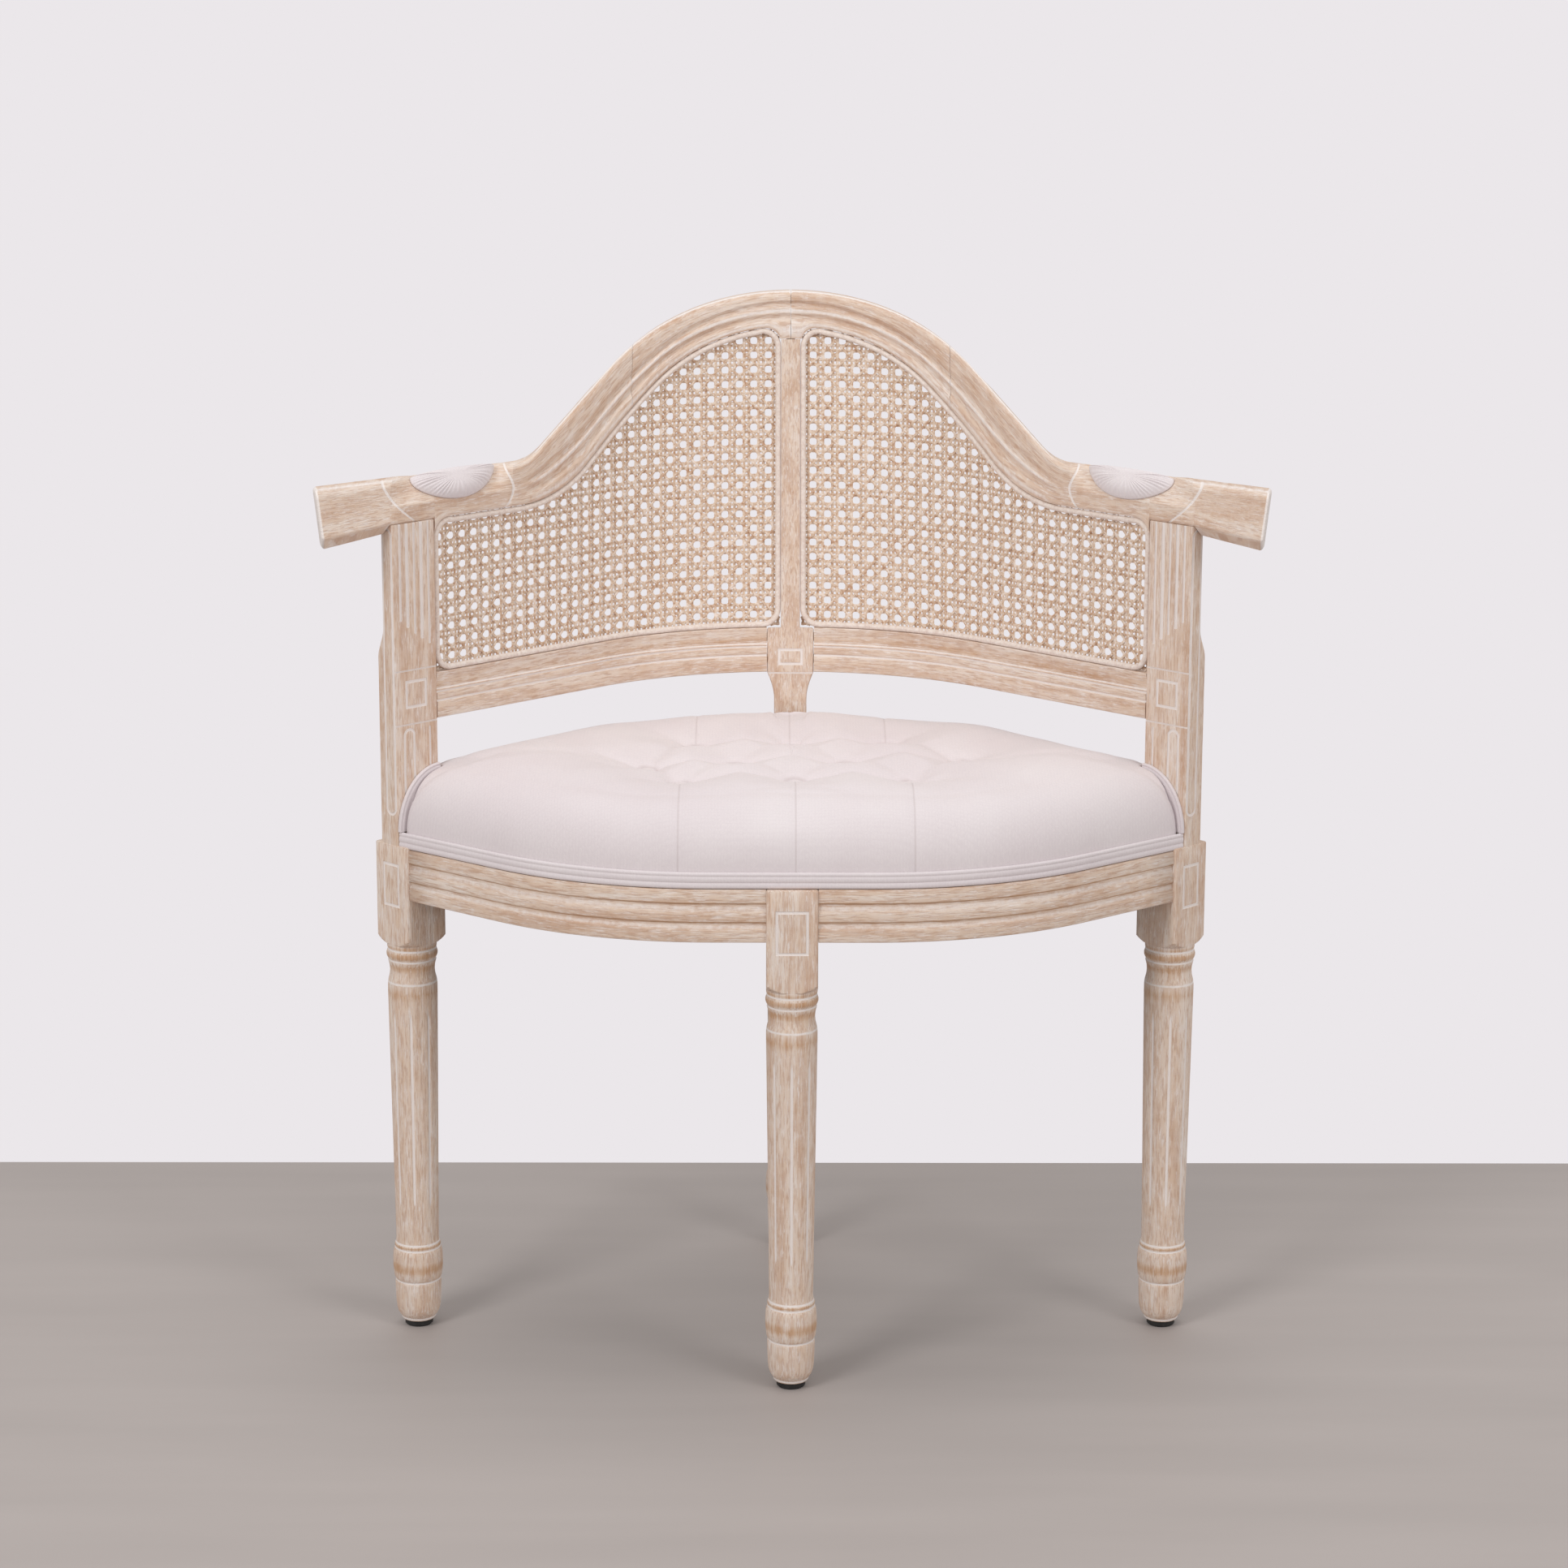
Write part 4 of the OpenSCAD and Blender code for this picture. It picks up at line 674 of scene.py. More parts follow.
class CHAIR_OT_stage(bpy.types.Operator):
    """Adds the pale floor, the soft lamps and the camera"""

    bl_idname = "chair.stage"
    bl_label = "Stage"

    def execute(self, context):
        looks = context.scene.chair_looks
        scene = context.scene
        nothing_selected()
        bpy.ops.mesh.primitive_grid_add(x_subdivisions=80, y_subdivisions=60, size=1)
        floor = context.object
        floor.name = floor.data.name = "floor"
        for v in floor.data.vertices:
            v.co = Vector((v.co.x * FLOOR_WIDE, (v.co.y - 0.5) * FLOOR_LONG + FLOOR_BACK, 0))
        n = Nodes("painted concrete floor", Roughness=0.55)
        place = n.add("TexCoord").outputs["Object"]
        brushed = n.add("Mapping", {"Vector": place}, {"Scale": (1.2, 9, 1)}).outputs[0]
        drift = n.add("TexNoise", {"Vector": brushed}, {"Scale": 1.6, "Detail": 5.0})
        tone = n.add("ValToRGB", {"Fac": drift.outputs["Fac"]})
        dull = [c * 0.93 for c in looks.floor]
        stops(tone, (0.3, dull), (0.7, looks.floor))
        n.link(tone.outputs[0], "Base Color")
        floor.data.materials.append(n.material)

        world = bpy.data.worlds.new("studio")
        scene.world = world
        world.use_nodes = True
        tree = world.node_tree
        ambient = tree.nodes["Background"]
        ambient.inputs["Color"].default_value = (1.0, 0.985, 0.98, 1)
        ambient.inputs["Strength"].default_value = 0.52
        backdrop = tree.nodes.new("ShaderNodeBackground")
        backdrop.inputs["Color"].default_value = (*looks.backdrop, 1)
        backdrop.inputs["Strength"].default_value = 1.0
        path = tree.nodes.new("ShaderNodeLightPath")
        mix = tree.nodes.new("ShaderNodeMixShader")
        tree.links.new(path.outputs["Is Camera Ray"], mix.inputs[0])
        tree.links.new(ambient.outputs[0], mix.inputs[1])
        tree.links.new(backdrop.outputs[0], mix.inputs[2])
        tree.links.new(mix.outputs[0], tree.nodes["World Output"].inputs[0])

        for name, spot, size, energy in (
            ("key", (-1.9, -2.3, 2.5), 1.1, 40),
            ("fill", (2.3, -2.2, 2.1), 1.2, 25),
            ("top", (0.1, 0.2, 3.0), 1.6, 16),
        ):
            lamp = bpy.data.lights.new(name, "AREA")
            lamp.size, lamp.energy = size, energy
            body = bpy.data.objects.new(name, lamp)
            context.collection.objects.link(body)
            body.location = spot
            towards_seat = Vector((0, 0, 0.45)) - Vector(spot)
            body.rotation_euler = towards_seat.to_track_quat("-Z", "Y").to_euler()

        camera = bpy.data.cameras.new("camera")
        camera.sensor_width = SENSOR
        camera.lens = PHOTO_LENS / PHOTO_SIDE * SENSOR
        camera.shift_y = PHOTO_SHIFT / PHOTO_SIDE
        camera.clip_end = 50
        eye = bpy.data.objects.new("camera", camera)
        context.collection.objects.link(eye)
        pitch, yaw, roll = CAMERA_PITCH, CAMERA_YAW, CAMERA_ROLL
        right = Vector((math.cos(yaw), -math.sin(yaw), 0))
        ahead = Vector((math.sin(yaw), math.cos(yaw), 0))
        forward = ahead * math.cos(pitch) - Vector((0, 0, 1)) * math.sin(pitch)
        up = ahead * math.sin(pitch) + Vector((0, 0, 1)) * math.cos(pitch)
        across = right * math.cos(roll) + up * math.sin(roll)
        above = up * math.cos(roll) - right * math.sin(roll)
        eye.matrix_world = Matrix.Translation(placed(CAMERA_AT)) @ Matrix(
            (across, above, -forward)
        ).transposed().to_4x4()
        scene.camera = eye
        scene.view_settings.view_transform = "Standard"
        return {"FINISHED"}


# Turned legs: radius and height in millimetres, from the glide up to the square block
TURNING = [
    (0, 5.3), (12.7, 5.3), (13.9, 5.8), (14.7, 6.9), (14.5, 7.8), (14.9, 8.6), (16.3, 10.2), (17.6, 12.6),
    (18.6, 16), (19.2, 21), (19.6, 30), (19.8, 39), (19.6, 40.5), (19.1, 41.5), (19.1, 42.4), (19.7, 43.3),
    (20.4, 45), (20.9, 49), (21.3, 54), (21.4, 60), (21.0, 66), (20.5, 68.6), (20.0, 69.7), (19.5, 70.5),
    (19.3, 71.3), (19.6, 72.3), (19.7, 73.4), (19.5, 74.4), (19.0, 75.1), (18.7, 75.9), (18.5, 77.2),
    (NECK_R, SHAFT_LOW),
]
COLLAR = [
    (LEG_R, SHAFT_HIGH), (21.0, 306), (20.7, 309), (20.2, 311.5), (19.3, 315), (18.9, 319), (19.2, 323),
    (20.1, 326.5), (20.4, 327.6), (20.1, 328.7), (20.3, 329.6), (21.0, 330.8), (21.6, 332.6), (21.6, 334.4),
    (21.0, 336.5), (20.6, 337.6), (20.6, 338.5), (20.9, 339.7), (21.0, 341.2), (21.0, 343.3),
]
# Heights of the turned lines that hold white paste, and of the beads rubbed bare between them
WHITE_RINGS = (7.6, 42.0, 71.0, 75.8, 309.5, 328.6, 338.1, 342.6)
BROWN_RINGS = (55.0, 73.4, 302.0, 322.0, 333.4, 340.6)


def turned_leg(name):
    """One turned and fluted leg on the Z axis, spun from its profile."""
    sizes = bpy.context.scene.chair_sizes
    shaft = [between((NECK_R, SHAFT_LOW), (LEG_R, SHAFT_HIGH), t / 38) for t in range(1, 38)]
    profile = TURNING + shaft + COLLAR + [(0, LEG_H + 0.3)]
    mesh = bpy.data.meshes.new(name)
    edges = [(i, i + 1) for i in range(len(profile) - 1)]
    mesh.from_pydata([(r * MM, 0, z * MM) for r, z in profile], edges, [])
    leg = bpy.data.objects.new(name, mesh)
    bpy.context.collection.objects.link(leg)
    edit(
        leg,
        ("spin", {
            "steps": sizes.turning_steps, "angle": 2 * math.pi, "center": (0, 0, 0), "axis": (0, 0, 1),
        }),
        ("remove_doubles", {"threshold": 1e-6}),
        ("normals_make_consistent", {"inside": False}),
    )
    pigment = mesh.attributes.new("lime", "FLOAT", "POINT")
    for v in mesh.vertices:
        z, r = v.co.z / MM, v.co.xy.length / MM
        white = max(0.95 * math.exp(-(((z - ring) / 1.1) ** 2)) for ring in WHITE_RINGS)
        brown = 0.6 * max(math.exp(-(((z - ring) / 2.2) ** 2)) for ring in BROWN_RINGS)
        white -= brown * (1 - min(1.0, 2 * white))
        if FLUTE_LOW < z < FLUTE_HIGH:
            angle = math.atan2(v.co.y, v.co.x) % (math.pi / 4)
            off = min(angle, math.pi / 4 - angle) * r * MM
            half = sizes.flute_width / 2 * ramp(min(z - FLUTE_LOW, FLUTE_HIGH - z), 0, 9)
            if half > 0 and off < half:
                depth = (1 - (off / half) ** 2) * sizes.flute_depth * ramp(half, 0, sizes.flute_width / 2)
                v.co.xy *= 1 - depth / (r * MM)
                white = max(white, depth / sizes.flute_depth + 0.1)
        pigment.data[v.index].value = white
    smooth(leg, 60)
    return leg


def leg_block(name, top):
    """The square block over a turned leg, whose lower corners are turned away."""
    corner = BLOCK_W / ROOT2

    def ring(z, grow=0.0):
        """The square with its corners turned to a cone below and to an arris above."""
        cone = corner + 2
        if z <= LEG_H + CONE_H:
            cone = LEG_R + (corner + 1 - LEG_R) * ((z - LEG_H) / CONE_H) ** 0.75
        points = []
        for k in range(96):
            a = 2 * math.pi * k / 96
            c, s = abs(math.cos(a)), abs(math.sin(a))
            flat = (BLOCK_W / 2 + grow) / max(c, s)
            flat = min(flat, (corner - 1.1 + grow) / max(0.01, (c + s) / ROOT2))
            r = min(flat, cone + grow)
            points.append((r * math.cos(a), r * math.sin(a) - SHIFT, z))
        return points

    heights = [LEG_H + up for up in (0, 0.7, 1.6, 2.8, 4.2, 6, 8.2, 12, 30, 55)] + [top - 1.2]
    rings = [ring(z) for z in heights] + [ring(top - 0.3, -0.5), ring(top, -1.3)]
    return sweep(name, rings, degrees=30, lime=lambda i, j: 0.35 if i >= 11 or i <= 1 else 0.0)


class CHAIR_OT_legs(bpy.types.Operator):
    """Turns the four legs, with their square blocks, posts and the stile"""

    bl_idname = "chair.legs"
    bl_label = "Legs and posts"

    def execute(self, context):
        sizes = context.scene.chair_sizes
        wood = finishes()["limed ash, grain upright"]
        paste = finishes()["liming paste in carving"]
        depth, line = sizes.carve_depth / MM, sizes.carve_width / MM
        turned = turned_leg("turned_leg")
        for side in ("front", "left", "right", "rear"):
            leg = turned.copy()
            leg.data = turned.data.copy()
            context.collection.objects.link(leg)
            block = leg_block(side + "_block", BLOCK_TOP if side in ("left", "right") else SEAT_H)
            block.data.materials.append(wood)
            leg.data.materials.append(wood)
            cutters = []
            if side == "front":
                place = Matrix.Translation((0, -BLOCK_W / 2 * MM, 0.3935))
                cutters.append(moved(frame_cutter(27, 37, line, depth), place))
            elif side in ("left", "right"):
                face = Matrix.Rotation(math.radians(-90 if side == "left" else 90), 4, "Z")
                place = Matrix.Translation((0, -BLOCK_W / 2 * MM, 0.396))
                cutters.append(moved(frame_cutter(21, 37.8, line, depth), face @ place))
            if cutters:
                carve(block, cutters, paste)
            whole = joined(side + "_leg_wood", leg, block)
            moved(whole, block_frame(side))
            if side in ("left", "right"):
                whole = joined(side + "_leg_wood", whole, self.post(side, wood, paste, depth, line))
                dress(whole, None, "limed_wood", side + "_leg_and_post")
            elif side == "rear":
                whole = joined("rear_leg_wood", whole, self.stile(wood, paste, depth, line))
                dress(whole, None, "limed_wood", "rear_leg_and_stile")
            else:
                dress(whole, None, "limed_wood", "front_leg")
        bpy.data.objects.remove(turned, do_unlink=True)
        return {"FINISHED"}

    def post(self, side, wood, paste, depth, line):
        """A side post in its block's own square, slender above the lower back rail."""
        width = POST_OUT + POST_IN
        mid = (POST_IN - POST_OUT) / 2
        sign = 1 if side == "left" else -1

        def back(z):
            """Place of the post's back at a height: it steps forward above the lower rail."""
            return BACK_T - POST_FACE - THINNER * soft_ramp(z, THIN_LOW, THIN_HIGH)

        rings = []
        heights = [SEAT_H + 0.2, BLOCK_TOP + 0.5, 450, 500, 550, THIN_LOW - 2]
        heights += [THIN_LOW + (THIN_HIGH - THIN_LOW) * t / 8 for t in range(9)] + [640, 680, ARM_Z - 0.2]
        for z in heights:
            thick = back(z) + POST_FACE
            rings.append([
                (sign * (mid + p[0]), p[1] - POST_FACE + thick / 2 - SHIFT, z)
                for p in round_box(width, thick, 1.8)
            ])
        post = sweep(side + "_post", rings, degrees=35, lime=lambda i, j: 0.25)
        post.data.materials.append(wood)
        cutters = []

        def front(cutter, x, z):
            """Sets a cutter in the post's front face."""
            cutters.append(moved(cutter, Matrix.Translation((sign * x * MM, -POST_FACE * MM, z * MM))))

        front(frame_cutter(23, 24, line, depth), mid, 558.5)
        front(frame_cutter(width + 4, 1.5, 0.74, depth * 0.8), mid, BACK_Z - 1)
        front(frame_cutter(width + 4, 1.5, 0.74, depth * 0.8), mid, 579)
        reeds = ((-15, 618, 2.6), (-7.5, 612, 3.4), (0.2, 606, 2.4), (7.6, 601, 3.6), (15.4, 596, 2.4))
        for x, foot, wide in reeds:
            front(slot_cutter(wide, 702 - foot, depth * 1.3), mid + x, (702 + foot) / 2 + 3)
        front(ring_cutter(13, 82, line, depth), mid - 8, 489)
        front(slot_cutter(2.0, 70, depth), mid + 14, 494)
        # One long channel in the outer face
        place = Matrix.Translation((-sign * POST_OUT * MM, (7.5 - POST_FACE) * MM, 0.578))
        outer = Matrix.Rotation(math.radians(-90 * sign), 4, "Z")
        cutters.append(moved(ring_cutter(14, 244, line, depth), place @ outer))
        carve(post, cutters, paste)
        return moved(post, block_frame(side))

    def stile(self, wood, paste, depth, line):
        """The stile, which leans back over the rear leg and carries the crest."""
        low, block = (SEAT_H - BACK_Z) / math.cos(RAKE) - 8, BACK_RAIL_H / math.cos(RAKE)
        top = (crest_low(0) - 0.3 - BACK_Z) / math.cos(RAKE)
        # (height up the slope, width): the foot, its flare, the block and the slender bar over it
        widths = [(low, STILE_FOOT_W), (-60, STILE_FOOT_W)]
        for k in range(9):
            spread = 1 - math.cos(k / 8 * math.pi / 2)
            widths.append((-24 + 24 * k / 8, STILE_FOOT_W + (STILE_BLOCK_W - STILE_FOOT_W) * spread))
        widths += [(4, STILE_BLOCK_W), (block - 1.6, STILE_BLOCK_W), (block - 0.5, STILE_BLOCK_W - 1)]
        widths += [(block, STILE_BLOCK_W - 3), (block + 0.2, STILE_W), (block + 40, STILE_W), (top, STILE_W)]
        rings = []
        for t, width in widths:
            thick = BACK_T if t <= block - 1 else BACK_T - 0.2
            section = round_box(width, thick, 1.6 if width > 20 else 1.2)
            rings.append([(x, y + thick / 2 - SHIFT, t) for x, y in section])
        stile = sweep("stile", rings, degrees=30, lime=lambda i, j: 0.2)
        stile.data.materials.append(wood)
        cutters = [
            moved(frame_cutter(22.5, 15, line, depth), Matrix.Translation((0, 0, 0.0135))),
            moved(frame_cutter(50, 1.6, 0.79, depth * 0.8), Matrix.Translation((0, 0, -0.001))),
        ]
        carve(stile, cutters, paste)
        lean = Matrix.Translation(placed((0, BACK_REAR_Y, BACK_Z))) @ Matrix.Rotation(-RAKE, 4, "X")
        return moved(stile, lean)


# Rails


# Sections as (depth, share of the height, lime), up the face from the lower back corner; a lime below zero is
# painted shade, just under the seat rail's bands and in the back rail's upper cove
SEAT_SECTION = [
    (1.2, 0.0, 0.35), (0.3, 0.012, 0.35), (0, 0.03, 0.2), (0, 0.215, 0.05), (0.15, 0.232, 0.2),
    (0.7, 0.258, 0.4), (1.4, 0.285, 0.55), (1.9, 0.318, 0.5), (2.0, 0.345, 0.3), (1.7, 0.368, -0.3),
    (0.6, 0.384, -0.7), (0.2, 0.396, -0.1), (0, 0.42, 0), (0, 0.53, 0), (0.15, 0.552, 0.2),
    (0.6, 0.58, 0.4), (1.3, 0.615, 0.5), (1.8, 0.655, 0.55), (2.1, 0.695, 0.35), (1.9, 0.722, -0.3),
    (0.7, 0.740, -0.7), (0.2, 0.752, -0.1), (0, 0.78, 0), (0, 0.955, 0.1), (0.4, 0.985, 0.3),
    (1.4, 1.0, 0.3), (26, 1.0, 0), (26, 0.0, 0),
]


def seat_rail_rings(points):
    """Rings of the seat rail's moulded section along points, each with its angle from +Y to inward."""
    rings = []
    for x, y, a in points:
        rings.append([
            (x + n * math.sin(a), y + n * math.cos(a), SEAT_H - RAIL_H + share * RAIL_H)
            for n, share, _ in SEAT_SECTION
        ])
    return rings


class CHAIR_OT_seat_rails(bpy.types.Operator):
    """Models the four moulded seat rails"""

    bl_idname = "chair.seat_rails"
    bl_label = "Seat rails"

    def execute(self, context):
        wood = finishes()["limed ash, grain along"]
        lime = lambda i, j: SEAT_SECTION[j][2]
        front = [(-BLOCK_W / 2 - 0.1, FRONT_FACE_Y, 0.0)]
        for a in [FRONT_ANGLE * k / 22 for k in range(23)]:
            y = FRONT_FACE_Y + FRONT_R * (1 - math.cos(a))
            front.append((-FRONT_FLAT - FRONT_R * math.sin(a), y, a))
        x, y, a = front[-1]
        front += [(x - d, y + d * math.tan(a), a) for d in (12, 50, SIDE_X + 6 + x)]
        left = sweep("front_left_seat_rail_wood", seat_rail_rings(front), lime=lime, degrees=30)
        self.trim(left)
        dress_both(left, wood, "limed_wood", "front_left_seat_rail")

        rear = []
        start = math.asin(BLOCK_W / 2 / REAR_R)
        for a in [start + (math.pi / 4 - start) * k / 24 for k in range(25)]:
            rear.append((-REAR_R * math.sin(a), REAR_Y + REAR_R * math.cos(a), math.pi - a))
        run = (SIDE_X - (REAR_R - RAIL_T / 2) / ROOT2) * ROOT2 - BLOCK_W / 2
        x, y, a = rear[-1]
        rear.append((x - run / ROOT2, y - run / ROOT2, a))
        left = sweep("rear_left_seat_rail_wood", seat_rail_rings(rear), lime=lime, degrees=30, offset=0.7)
        dress_both(left, wood, "limed_wood", "rear_left_seat_rail")
        return {"FINISHED"}

    def trim(self, rail):
        """Cuts a rail's end flush with the turned square of the side leg's block."""
        face = (BLOCK_W / 2 + 0.1) / ROOT2
        point = placed((-SIDE_X + face, -face, 0))
        cut = {"plane_co": point, "plane_no": (-1, 1, 0), "clear_outer": True, "use_fill": True}
        edit(rail, ("bisect", cut))


BACK_SECTION = [
    (1.4, 0.0, 0.4), (0.3, 0.015, 0.4), (0, 0.05, 0.1), (0, 0.33, 0), (0.2, 0.348, 0.3), (1.3, 0.364, 0.9),
    (1.7, 0.385, 0.9), (1.1, 0.40, 0.5), (0.5, 0.415, 0), (0.4, 0.43, 0), (0.4, 0.53, 0),
    (0.6, 0.545, 0.3), (1.9, 0.56, 0.9), (1.9, 0.585, 0.7), (0.8, 0.60, 0), (0.8, 0.615, 0.2),
    (2.1, 0.63, 0.9), (2.2, 0.655, 0.4), (1.8, 0.70, -0.15), (1.7, 0.77, -0.1), (1.4, 0.85, 0.05),
    (0.9, 0.93, 0.2), (0.6, 0.975, 0.4), (1.2, 1.0, 0.4), (21.0, 1.0, 0.1), (22.0, 0.97, 0),
    (22.0, 0.03, 0), (21.0, 0.0, 0),
]


class CHAIR_OT_back_rails(bpy.types.Operator):
    """Models the two moulded lower back rails"""

    bl_idname = "chair.back_rails"
    bl_label = "Lower back rails"

    def execute(self, context):
        wood = finishes()["limed ash, grain along"]
        start, stop = STILE_BLOCK_W / 2 + 0.2, POST_S - POST_IN - 0.1
        rings = []
        for k in range(49):
            s = start + (stop - start) * k / 48
            rings.append([back_point(s, BACK_Z + share * BACK_RAIL_H, n) for n, share, _ in BACK_SECTION])
        lime = lambda i, j: BACK_SECTION[j][2]
        left = sweep("lower_back_rail_left_wood", rings, lime=lime, degrees=30, offset=2.1)
        dress_both(left, wood, "limed_wood", "lower_back_rail_left")
        return {"FINISHED"}


# Crest and arms


def crest_profile(s):
    """Section at s, as (depth, share of the height, white) points up the face and down the back."""
    tall = crest_up(s) - crest_edge(s)
    fade = 1 - soft_ramp(s, FADE_FROM, FADE_TO)
    upper = 0.64 - 0.12 * ramp(s, 20, 130)
    lower = 0.27 + 0.02 * ramp(s, 20, 130)
    end = ramp(s, PAD_S + PAD_L / 2, PAD_S + PAD_L / 2 + 20)
    pad = ramp(s, PAD_S - PAD_L / 2 - 20, PAD_S - PAD_L / 2) * (1 - end)
    points = []
    for k in range(41):
        t = k / 40
        n = PAD_SLANT * pad * max(0.0, (t - PAD_LOW) / (1 - PAD_LOW))
        n += end * math.tan(ARM_TILT) * t * tall
        rim = 3.2 * max(0.0, (t - 0.84) / 0.16) ** 2 + 1.6 * max(0.0, (0.07 - t) / 0.07) ** 2
        n += (3.4 * dent(t, upper, 0.11) + 3.0 * dent(t, lower, 0.12)) * fade + rim
        white = 0.65 * dent(t, (upper + lower) / 2, 0.11) * fade + 0.6 * dent(t, 0.09, 0.10) * fade
        # The coves' bottoms are browned, partly as unpasted wood and partly as painted shade
        white -= 0.75 * (dent(t, upper + 0.02, 0.08) + dent(t, lower + 0.02, 0.08)) * fade
        white += 0.5 * ramp(t, 0.90, 1.0) * fade + 0.3 * ramp(t, 0.95, 1.0) + 0.36 * end
        # Two white lines are cut across each arm, before the pad and behind the post
        bow = BOW_S + 12.4 * (max(0.0, t - 0.47) / 0.53) ** 1.6 + 9 * (max(0.0, 0.47 - t) / 0.47) ** 2
        slant = SLANT_S + 50 * t - 13.5 * t * t
        for at in (bow, slant):
            cut = dent(s, at, 2.3)
            n += 0.7 * cut
            white = max(white, 1.2 * cut)
        points.append((n, t, min(1.0, white)))
    return points


def crest_ring(s, shrink=0.0):
    """A ring of the crest or arm at s, pulled in by shrink at a rounded end, and its shares of white."""
    low, edge, top = crest_low(s), crest_edge(s), crest_up(s)
    far = ramp(s, POST_FOOT_S + 1, ARM_END_S)
    past = ramp(s, POST_FOOT_S, POST_FOOT_S + 1)
    cut = math.tan(turn(s)) * (1 - 0.35 * far)
    end = ramp(s, PAD_S + PAD_L / 2, PAD_S + PAD_L / 2 + 20)
    tilt = end * math.tan(ARM_TILT) * (top - edge)
    section, whites_and_shade = [], []
    for n, t, white in crest_profile(s):
        z = edge + t * (top - edge)
        if t < 0.2:
            z -= (edge - low) * (1 - t / 0.2)
        section.append((n, z))
        whites_and_shade.append(white)
    n_top, under, lip = section[-1][0], low - past * 8, max(2.5, past * 10)
    section += [
        (n_top + 0.35 * (BACK_T + tilt - n_top), top + 0.1), (BACK_T + tilt - 2.4, top),
        (BACK_T + tilt - 0.7, top - 0.6), (BACK_T + tilt, top - 2.2), (BACK_T + tilt * 0.5, (low + top) / 2),
        (BACK_T, under + 2), (BACK_T - 0.6, under + 0.5), (BACK_T - 2, under), (lip + 6, under), (lip, under),
    ]
    whites_and_shade += [0.45, 0.3, 0.3, 0.3, 0.1, 0.2, 0.2, 0.1, 0, 0.1]
    if shrink:
        mid_n, mid_z = BACK_T / 2 + tilt / 2, (low - 8 + top) / 2
        section = [(n + (mid_n - n) * shrink / 11, z + (mid_z - z) * shrink / 22) for n, z in section]
    ring = []
    for n, z in section:
        share = (z - low) / (top - low)
        ring.append(back_point(s - cut * n * max(far, share) - 5 * far * (1 - share), z, n))
    return ring, whites_and_shade


class CHAIR_OT_crest_and_arms(bpy.types.Operator):
    """Models the crest rail's two halves and the arms, with their mouldings"""

    bl_idname = "chair.crest_and_arms"
    bl_label = "Crest and arms"

    def execute(self, context):
        wood = finishes()["limed ash, grain along"]
        # Stations in s, close together where the fillets, the cut lines and the rounded end need them
        crest = [0.15, 2, 4, 6, STILE_W / 2]
        crest += [STILE_W / 2 + 16.65 * (1 - math.cos(a * 0.17)) for a in range(1, 9)]
        crest += [s for s in [26 + 3.1 * k for k in range(40)] if crest[-1] + 1 < s < SEAM_S - 2]
        crest += [SEAM_S - 0.8, SEAM_S - 0.25]
        arm = [SEAM_S + 0.05, SEAM_S + 0.7] + [SEAM_S + 3 + 3 * k for k in range(42)]
        arm += [BOW_S - 5 + 0.8 * k for k in range(26)] + [303 + 3 * k for k in range(28)]
        arm += [POST_S - POST_IN - d for d in (17, 15, 13, 11, 9, 7, 5.5, 4, 3, 2, 1, 0.3, -0.01)]
        arm += [388 + k for k in range(29)] + [POST_FOOT_S, POST_FOOT_S + 1]
        arm += [POST_FOOT_S + 1 + k * (ARM_END_S - 3.5 - POST_FOOT_S - 1) / 70 for k in range(1, 71)]
        for name, stations, node, offset in (
            ("crest_left_wood", crest, "crest_rail_left", 3.3),
            ("arm_left_wood", sorted(set(arm)), "arm_rail_left", 4.9),
        ):
            made = [crest_ring(s) for s in stations]
            if node == "arm_rail_left":
                for step, shrink in ((2.2, 0.35), (1.1, 0.95), (0.35, 1.9), (0.0, 3.4)):
                    made.append(crest_ring(ARM_END_S - step, shrink))
            whites_and_shade = [m[1] for m in made]
            last = len(made) - 1

            def lime(i, j):
                edge = 0.35 if i in (0, last) else 0.0
                if node == "arm_rail_left" and i > last - 4:
                    edge = 0.6
                return min(1.0, whites_and_shade[i][j] + edge)

            piece = sweep(name, [m[0] for m in made], lime=lime, degrees=35, offset=offset)
            dress_both(piece, wood, "limed_wood", node)
        return {"FINISHED"}


# Cane


def cane_field():
    """Limits of the cane sheet in s, and its lowest height."""
    return STILE_W / 2 + 0.6, POST_S - POST_IN - 0.6, BACK_Z + BACK_RAIL_H + 0.6


def inside_cane(s, z):
    """Whether a point lies on the left cane sheet."""
    left, right, base = cane_field()
    return left <= s <= right and base <= z <= crest_low(s) - 1.0


